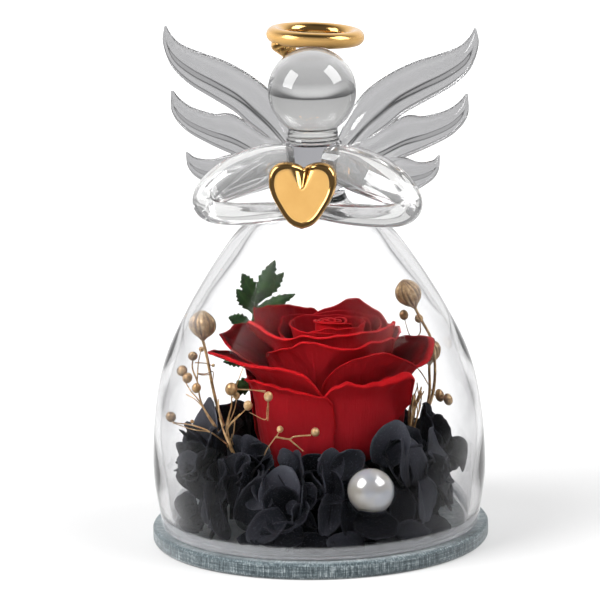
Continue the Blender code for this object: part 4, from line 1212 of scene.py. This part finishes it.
# Twigs of each dry sprig: (thickness, route), and its seed balls: (size, place).
LEFT_TWIGS = [
    (0.34, [(-19.0, -15.0, 14.3), (-24.0, -15.0, 26.0), (-28.0, -12.0, 34.5), (-31.3, -11.0, 39.0),
            (-34.2, -10.0, 44.5), (-35.2, -9.5, 49.5), (-36.6, -9.0, 53.4), (-36.3, -8.6, 56.8)]),
    (0.26, [(-28.0, -12.0, 34.5), (-31.0, -12.5, 39.5), (-34.6, -11.0, 44.8), (-37.2, -9.5, 47.5),
            (-39.8, -7.5, 51.4)]),
    (0.22, [(-35.3, -9.5, 49.8), (-35.0, -8.0, 54.5), (-34.2, -7.6, 58.2)]),
    (0.20, [(-35.8, -8.8, 55.0), (-33.0, -7.0, 54.2), (-31.1, -6.0, 53.1)]),
    (0.18, [(-35.2, -9.0, 51.8), (-33.0, -7.5, 51.2), (-30.9, -6.0, 51.2), (-31.2, -6.0, 47.3)]),
    (0.26, [(-27.0, -13.5, 32.8), (-31.5, -16.0, 37.0), (-36.6, -14.0, 38.6), (-41.8, -7.0, 37.8),
            (-43.0, -4.5, 38.2)]),
    (0.30, [(-22.0, -16.0, 22.0), (-24.6, -20.0, 31.0), (-26.6, -23.0, 39.2), (-25.0, -24.0, 46.1),
            (-24.9, -25.0, 50.0)]),
    (0.20, [(-26.4, -23.0, 40.0), (-24.3, -24.0, 44.6), (-23.4, -24.0, 48.2)]),
    (0.22, [(-26.8, -22.8, 37.7), (-25.5, -24.0, 40.8), (-23.2, -24.0, 43.0), (-20.3, -24.5, 45.8)]),
    (0.18, [(-24.8, -25.0, 51.0), (-20.0, -26.0, 51.0), (-15.9, -26.6, 50.4), (-14.4, -26.8, 49.6)]),
    (0.18, [(-14.3, -26.8, 48.4), (-14.8, -26.6, 45.0), (-15.4, -26.4, 42.7), (-19.8, -25.0, 44.5)]),
    (0.18, [(-24.6, -24.6, 48.5), (-23.3, -24.4, 52.2), (-21.2, -24.2, 57.5)]),
    (0.26, [(-24.0, -20.5, 30.0), (-27.0, -19.0, 36.0), (-28.6, -17.0, 42.0), (-29.0, -15.0, 46.0)]),
    (0.26, [(-23.0, -18.0, 27.0), (-26.0, -18.5, 33.0), (-24.6, -22.0, 38.0), (-24.0, -23.5, 43.0)]),
]
LEFT_BALLS = [(1.35, (-36.4, -8.5, 57.0)), (1.45, (-39.6, -7.6, 52.6)), (1.4, (-38.1, -8.2, 50.6)),
              (1.3, (-35.5, -9.2, 47.9)), (0.8, (-33.9, -7.5, 58.9)), (1.5, (-43.2, -4.0, 38.9)),
              (1.75, (-24.9, -25.4, 51.2)), (0.95, (-23.4, -24.2, 48.9)), (1.3, (-20.2, -25.0, 46.4)),
              (1.3, (-14.3, -27.0, 49.2)), (0.5, (-30.8, -6.0, 53.2)), (0.55, (-36.6, -13.6, 39.6))]
FRONT_TWIGS = [
    (0.28, [(-12.0, -20.5, 14.3), (-14.0, -24.0, 25.0), (-15.8, -27.5, 32.1), (-12.5, -28.0, 38.0)]),
    (0.32, [(-12.5, -28.0, 38.0), (-8.6, -28.2, 37.3), (-6.9, -28.4, 38.1), (-2.3, -28.4, 38.4)]),
    (0.26, [(-8.6, -28.2, 37.3), (-6.6, -28.8, 35.6), (-4.6, -29.4, 33.8)]),
    (0.20, [(-12.4, -27.8, 37.6), (-11.8, -27.9, 38.8), (-11.2, -28.0, 39.8)]),
]
FRONT_BALLS = [(1.25, (-1.0, -28.4, 39.3)), (0.95, (-11.1, -28.0, 40.2))]
RIGHT_TWIGS = [
    (0.34, [(8.0, 23.2, 14.3), (9.6, 28.0, 25.5), (12.5, 33.0, 36.0), (22.0, 28.5, 46.0), (30.5, 19.5, 56.0),
            (31.0, 12.5, 62.6)]),
    (0.24, [(23.0, 27.8, 47.0), (31.0, 25.0, 43.0), (35.5, 18.0, 38.6), (37.8, 13.0, 38.9)]),
    (0.18, [(29.0, 21.0, 54.5), (27.4, 13.0, 59.5), (26.2, 9.0, 64.6)]),
]
RIGHT_BALLS = [(1.3, (30.6, 12.0, 64.2)), (1.35, (26.0, 8.8, 65.8)), (1.45, (36.9, 15.0, 39.2)),
               (1.45, (39.2, 12.0, 39.0))]


STRANDS = 18


def add_companion(shape, route, rng):
    """A finer strand that follows a twig loosely and stops short of its end."""
    moved = [Vector(p) + Vector([rng.uniform(-1.2, 1.2) for i in range(3)]) for p in route[1:-1]]
    jitter = [Vector(route[0])] + moved
    if len(jitter) > 2:
        path = smooth_path(jitter, 6 * len(jitter))
        shape.add_tube(path, [0.15] * len(path), 6, tone=rng.uniform(0.0, 0.4))


def add_bundle(shape, rng):
    """Fine dry strands that rise from the foam beside the rose and part at the top."""
    for i in range(STRANDS):
        lean = Vector((rng.uniform(-1.6, 1.8), rng.uniform(-1.2, 1.0), rng.uniform(-3.0, 1.0)))
        side = Vector((rng.uniform(-1.0, 1.0), rng.uniform(-0.8, 0.8), 0.0))
        route = [(20.0, -12.5, FOAM_TOP_Z + 0.3), Vector((25.0, -13.0, 27.0)) + side * 0.4,
                 Vector((27.0, -11.0, 36.0)) + side, Vector((28.2, -10.4, 41.5)) + side * 1.4 + lean * 0.4,
                 Vector((29.2, -10.0, 47.0)) + lean]
        path = smooth_path(route, 30)
        shape.add_tube(path, [0.17] * 30, 6, tone=rng.uniform(0.0, 0.8))


def make_sprigs(straw):
    groups = (("gypsophila_left", LEFT_TWIGS, LEFT_BALLS), ("gypsophila_front", FRONT_TWIGS, FRONT_BALLS),
              ("gypsophila_right", RIGHT_TWIGS, RIGHT_BALLS))
    rng = random.Random(7)
    for name, twigs, balls in groups:
        shape = Shape()
        for thickness, route in twigs:
            count = 8 * len(route)
            path = smooth_path(route, count)
            radii = [thickness * mix(0.95, 0.6, i / (count - 1)) for i in range(count)]
            shape.add_tube(path, radii, 7, tone=rng.uniform(0.0, 0.5))
            if name == "gypsophila_left" and route[0][2] > 20:
                add_companion(shape, route, rng)
        if name == "gypsophila_right":
            add_bundle(shape, rng)
        for size, place in balls:
            shape.add_ball(place, size, 18, 12, 1.05, tone=rng.uniform(0.0, 0.45))
        build("gilt_" + name, shape, straw, "gold_straw", [name], bouquet=True, sharp=70)


# The leaf's stem, and its lobes: height on the stem, tip and width.
LEAF_STEM = [(-4.0, 22.0, FOAM_TOP_Z + 0.7), (-14.0, 25.5, 32.0), (-20.5, 25.0, 50.0), (-19.2, 21.0, 62.0),
             (-17.2, 16.5, 72.0)]
LEAF_LOBES = [(69.5, (-12.3, 15.0, 80.1), 5.6), (68.5, (-22.5, 15.5, 76.7), 5.6),
              (68.5, (-9.7, 18.0, 75.8), 5.2), (65.0, (-24.2, 16.6, 71.8), 5.2),
              (65.4, (-6.4, 20.6, 68.8), 4.2), (61.0, (-26.6, 20.0, 62.8), 4.6),
              (54.0, (-27.4, 20.3, 54.8), 5.0), (47.0, (-29.2, 22.8, 45.4), 5.2),
              (40.0, (-27.8, 22.2, 37.2), 4.6)]
# Half width of a lobe along its length, in shares of its width, with forward-pointing teeth.
LOBE_EDGE = [(0.0, 0.20), (0.20, 0.28), (0.38, 0.50), (0.42, 0.38), (0.55, 0.58), (0.59, 0.41), (0.70, 0.50),
             (0.74, 0.31), (0.82, 0.37), (0.86, 0.19), (0.92, 0.20), (0.95, 0.10), (1.0, 0.01)]


def point_at_height(path, z):
    for low, high in zip(path, path[1:]):
        if z <= high.z:
            return low.lerp(high, (z - low.z) / (high.z - low.z))
    return path[-1]


def make_leaf(green):
    path = smooth_path(LEAF_STEM, 40)
    blade = Shape()
    stem = Shape()
    stem.add_tube(path, [0.6] * 40, 8)
    for height, tip, width in LEAF_LOBES:
        start = point_at_height(path, height)
        axis = Vector(tip) + Vector((0.0, 0.0, 1.3)) - start
        across = axis.cross(Vector((0.0, 1.0, 0.0))).normalized() * width * 0.84
        face = across.cross(axis).normalized()

        def spot(r, c):
            s = r / 72
            u = c / 4 - 1
            teeth = straight(LOBE_EDGE, clamp(s + (0.03 if u > 0 else 0.0)))
            half = mix(0.5 * straight(LOBE_EDGE, s) + 0.1, teeth, abs(u))
            crease = 0.45 * abs(u) - 0.9 * s * s + 0.15 * math.sin(9 * s)
            return start + axis * s + across * half * u + face * crease, (u, s * 2, 0.0)

        blade.add_grid(*grid_of(73, 9, spot))
    build("leaf_stem", stem, green, "green_leaf", bouquet=True)
    build("leaf_blades", blade, green, "green_leaf", ["leaf_frond"], bouquet=True, thickness=0.3, sharp=50)


def make_pearl(pearl):
    shape = Shape()
    shape.add_ball(PEARL_CENTRE, PEARL_RADIUS, 64, 40)
    foot = Vector((PEARL_CENTRE.x, PEARL_CENTRE.y, 0.0)).normalized() * (FOAM_RADIUS + 0.3)
    foot.z = FOAM_TOP_Z - 1.6
    shape.add_tube(smooth_path([foot, PEARL_CENTRE], 4), [0.5] * 4, 8)
    build("pearl_on_pin", shape, pearl, "white_pearl", ["pearl"], bouquet=True)


# Studio

# Places in metres, in the bouquet's frame.
CAMERA_BACK = 1.4
CAMERA_HEIGHT = 0.378745
AIM = Vector((-0.004775, 0.0, 0.07205))
CAMERA_ROLL = -0.0206
FOCAL_PIXELS = 4851.0
PICTURE_PIXELS = 600.0
SENSOR_MM = 36.0
BACKWARDS = BOUQUET.to_3x3() @ Vector((0.0, 1.0, 0.0))
FLOOR_HALF = 3.0
WORLD_STRENGTH = 1.15
# Lamps and mirrored cards: azimuth and elevation, distance and size in metres, and watts.
KEYS = {"key_left": (-62, 42, 1.48, (1.0, 1.0), 48), "key_right": (70, 46, 1.48, (1.0, 1.0), 28)}
CARDS = {"card_left": (-70, 32, 1.5, (0.8, 1.0), 12), "card_right": (78, 40, 1.5, (0.8, 1.0), 12)}
# First words of the pieces that mirror the cards.
SHINY = ("head", "wing", "arm", "halo", "gold", "pearl")


def make_camera():
    place = BOUQUET @ Vector((0.0, -CAMERA_BACK, CAMERA_HEIGHT))
    target = BOUQUET @ AIM
    forward = (target - place).normalized()
    right = forward.cross(Vector((0.0, 0.0, 1.0))).normalized()
    up = right.cross(forward)
    level = math.cos(CAMERA_ROLL) * right + math.sin(CAMERA_ROLL) * up
    upright = -math.sin(CAMERA_ROLL) * right + math.cos(CAMERA_ROLL) * up
    data = bpy.data.cameras.new("camera")
    data.sensor_width = SENSOR_MM
    data.lens = SENSOR_MM * FOCAL_PIXELS / PICTURE_PIXELS
    data.clip_end = 20.0
    camera = bpy.data.objects.new("camera", data)
    camera.matrix_world = frame_of(level, upright, -forward, place)
    bpy.context.scene.collection.objects.link(camera)
    bpy.context.scene.camera = camera


def softbox(name, azimuth, elevation, distance, size, power, receivers=None):
    """A square area light that faces the object; azimuth 0 is in front, 90 to the camera's right.

    With receivers it lights those pieces alone and is seen in their reflections; without, it only lights."""
    a, e = math.radians(azimuth), math.radians(elevation)
    away = Vector((math.sin(a) * math.cos(e), -math.cos(a) * math.cos(e), math.sin(e)))
    data = bpy.data.lights.new(name, "AREA")
    data.shape = "RECTANGLE"
    data.size, data.size_y = size
    data.energy = power
    light = bpy.data.objects.new(name, data)
    light.location = BOUQUET @ (away * distance + Vector((0.0, 0.0, 0.07)))
    light.rotation_euler = (BOUQUET.to_3x3() @ away).to_track_quat("Z", "Y").to_euler()
    light.visible_glossy = receivers is not None
    if receivers is not None:
        light.light_linking.receiver_collection = receivers
    bpy.context.scene.collection.objects.link(light)


def make_world():
    """A light grey backdrop behind, and a dark room overhead and on the camera's side."""
    world = bpy.data.worlds.new("studio")
    bpy.context.scene.world = world
    world.use_nodes = True
    tree = world.node_tree
    direction = add_node(tree, "ShaderNodeTexCoord").outputs["Generated"]
    behind = vector_maths(tree, "DOT_PRODUCT", direction, BACKWARDS)
    side_light = ramp(tree, maths(tree, "MULTIPLY_ADD", behind, 0.5, 0.5),
                      [(0.0, (0.11, 0.11, 0.12)), (0.3, (0.11, 0.11, 0.12)), (0.5, (0.16, 0.16, 0.17))]
                      + greys([(0.60, 0.25), (0.72, 0.52), (0.86, 0.9), (1.0, 1.0)]))
    overhead = ramp(tree, maths(tree, "MULTIPLY_ADD", height_of(tree, direction), 0.5, 0.5),
                    greys([(0.0, 1.0), (0.40, 0.8), (0.47, 0.45), (0.49, 0.9), (0.62, 1.0), (0.93, 1.0),
                           (1.0, 0.35)]))
    backdrop = tree.nodes["Background"]
    feed(tree, backdrop, Color=blend_colour(tree, 1.0, side_light, overhead, "MULTIPLY"))
    backdrop.inputs["Strength"].default_value = WORLD_STRENGTH


def make_floor():
    """A pale floor that glows in a strip behind the object, painted light from its own emission, so that it
    fades into the backdrop.
    """
    mesh = bpy.data.meshes.new("floor")
    corners = [(x * FLOOR_HALF, y * FLOOR_HALF, 0) for x, y in ((-1, -1), (1, -1), (1, 1), (-1, 1))]
    mesh.from_pydata(corners, [], [(0, 1, 2, 3)])
    floor = bpy.data.objects.new("floor", mesh)
    bpy.context.scene.collection.objects.link(floor)
    material, tree, shader = new_material("pale_floor", (0.37, 0.37, 0.37), 0.9)
    place = place_of(tree)
    right = BOUQUET.to_3x3() @ Vector((1.0, 0.0, 0.0))
    sideways = maths(tree, "ABSOLUTE", vector_maths(tree, "DOT_PRODUCT", place, right))
    depth = vector_maths(tree, "DOT_PRODUCT", place, BACKWARDS)
    # Painted light: the floor's emission is strongest in a strip behind the object and fades with distance.
    strip = spread(tree, sideways, 0.60, 0.16, interpolation_type="SMOOTHSTEP")
    rise = spread(tree, depth, -0.1, 0.9, 0.24, 0.95)
    far = spread(tree, depth, 2.3, 1.15, interpolation_type="SMOOTHSTEP")
    feed(tree, shader, Emission_Strength=maths(tree, "MULTIPLY", maths(tree, "MULTIPLY", strip, rise), far))
    shader.inputs["Emission Color"].default_value = (1.0, 1.0, 1.0, 1.0)
    mesh.materials.append(material)
    floor.visible_glossy = False


def main():
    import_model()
    noise.seed_set(NOISE_SEED)
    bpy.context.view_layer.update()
    make_camera()
    make_world()
    make_floor()
    for name, spec in KEYS.items():
        softbox(name, *spec)

    dome_glass = make_glass("dome_glass", (0.98, 0.98, 0.98), 0.0, (0.30, 0.30, 0.315))
    wing_glass = make_glass("wing_glass", (0.41, 0.41, 0.415), 1.0, coat=1.0)
    head_glass = make_glass("head_glass", (0.54, 0.54, 0.54), 1.0, coat=1.0, layers=HEAD_PAINTED_TONES)
    arm_glass = make_glass("arm_glass", (0.74, 0.74, 0.735), 1.0, coat=1.0, clear=0.90)
    gold = make_gold()
    red = make_red()
    black = make_black()
    straw = make_straw()
    make_base(make_felt())
    make_dome(dome_glass)
    make_head(head_glass)
    for side, word in ((-1, "left"), (1, "right")):
        make_wing(word, side, wing_glass)
        make_arm(word, side, arm_glass)
    make_heart(gold)
    make_halo(gold)
    make_foam(make_foam_material())
    make_petals(red)
    make_bud(red, make_calyx())
    make_florets(black)
    make_leaf(make_green())
    make_pods(straw)
    make_sprigs(straw)
    make_pearl(make_pearl_material())

    shiny = bpy.data.collections.new("shiny_pieces")
    for piece in bpy.context.scene.objects:
        if piece.name.split("_")[0] in SHINY:
            shiny.objects.link(piece)
    for name, spec in CARDS.items():
        softbox(name, *spec, shiny)

    scene = bpy.context.scene
    scene.view_settings.view_transform = "Standard"
    scene.cycles.max_bounces = 24
    scene.cycles.transmission_bounces = 24


main()
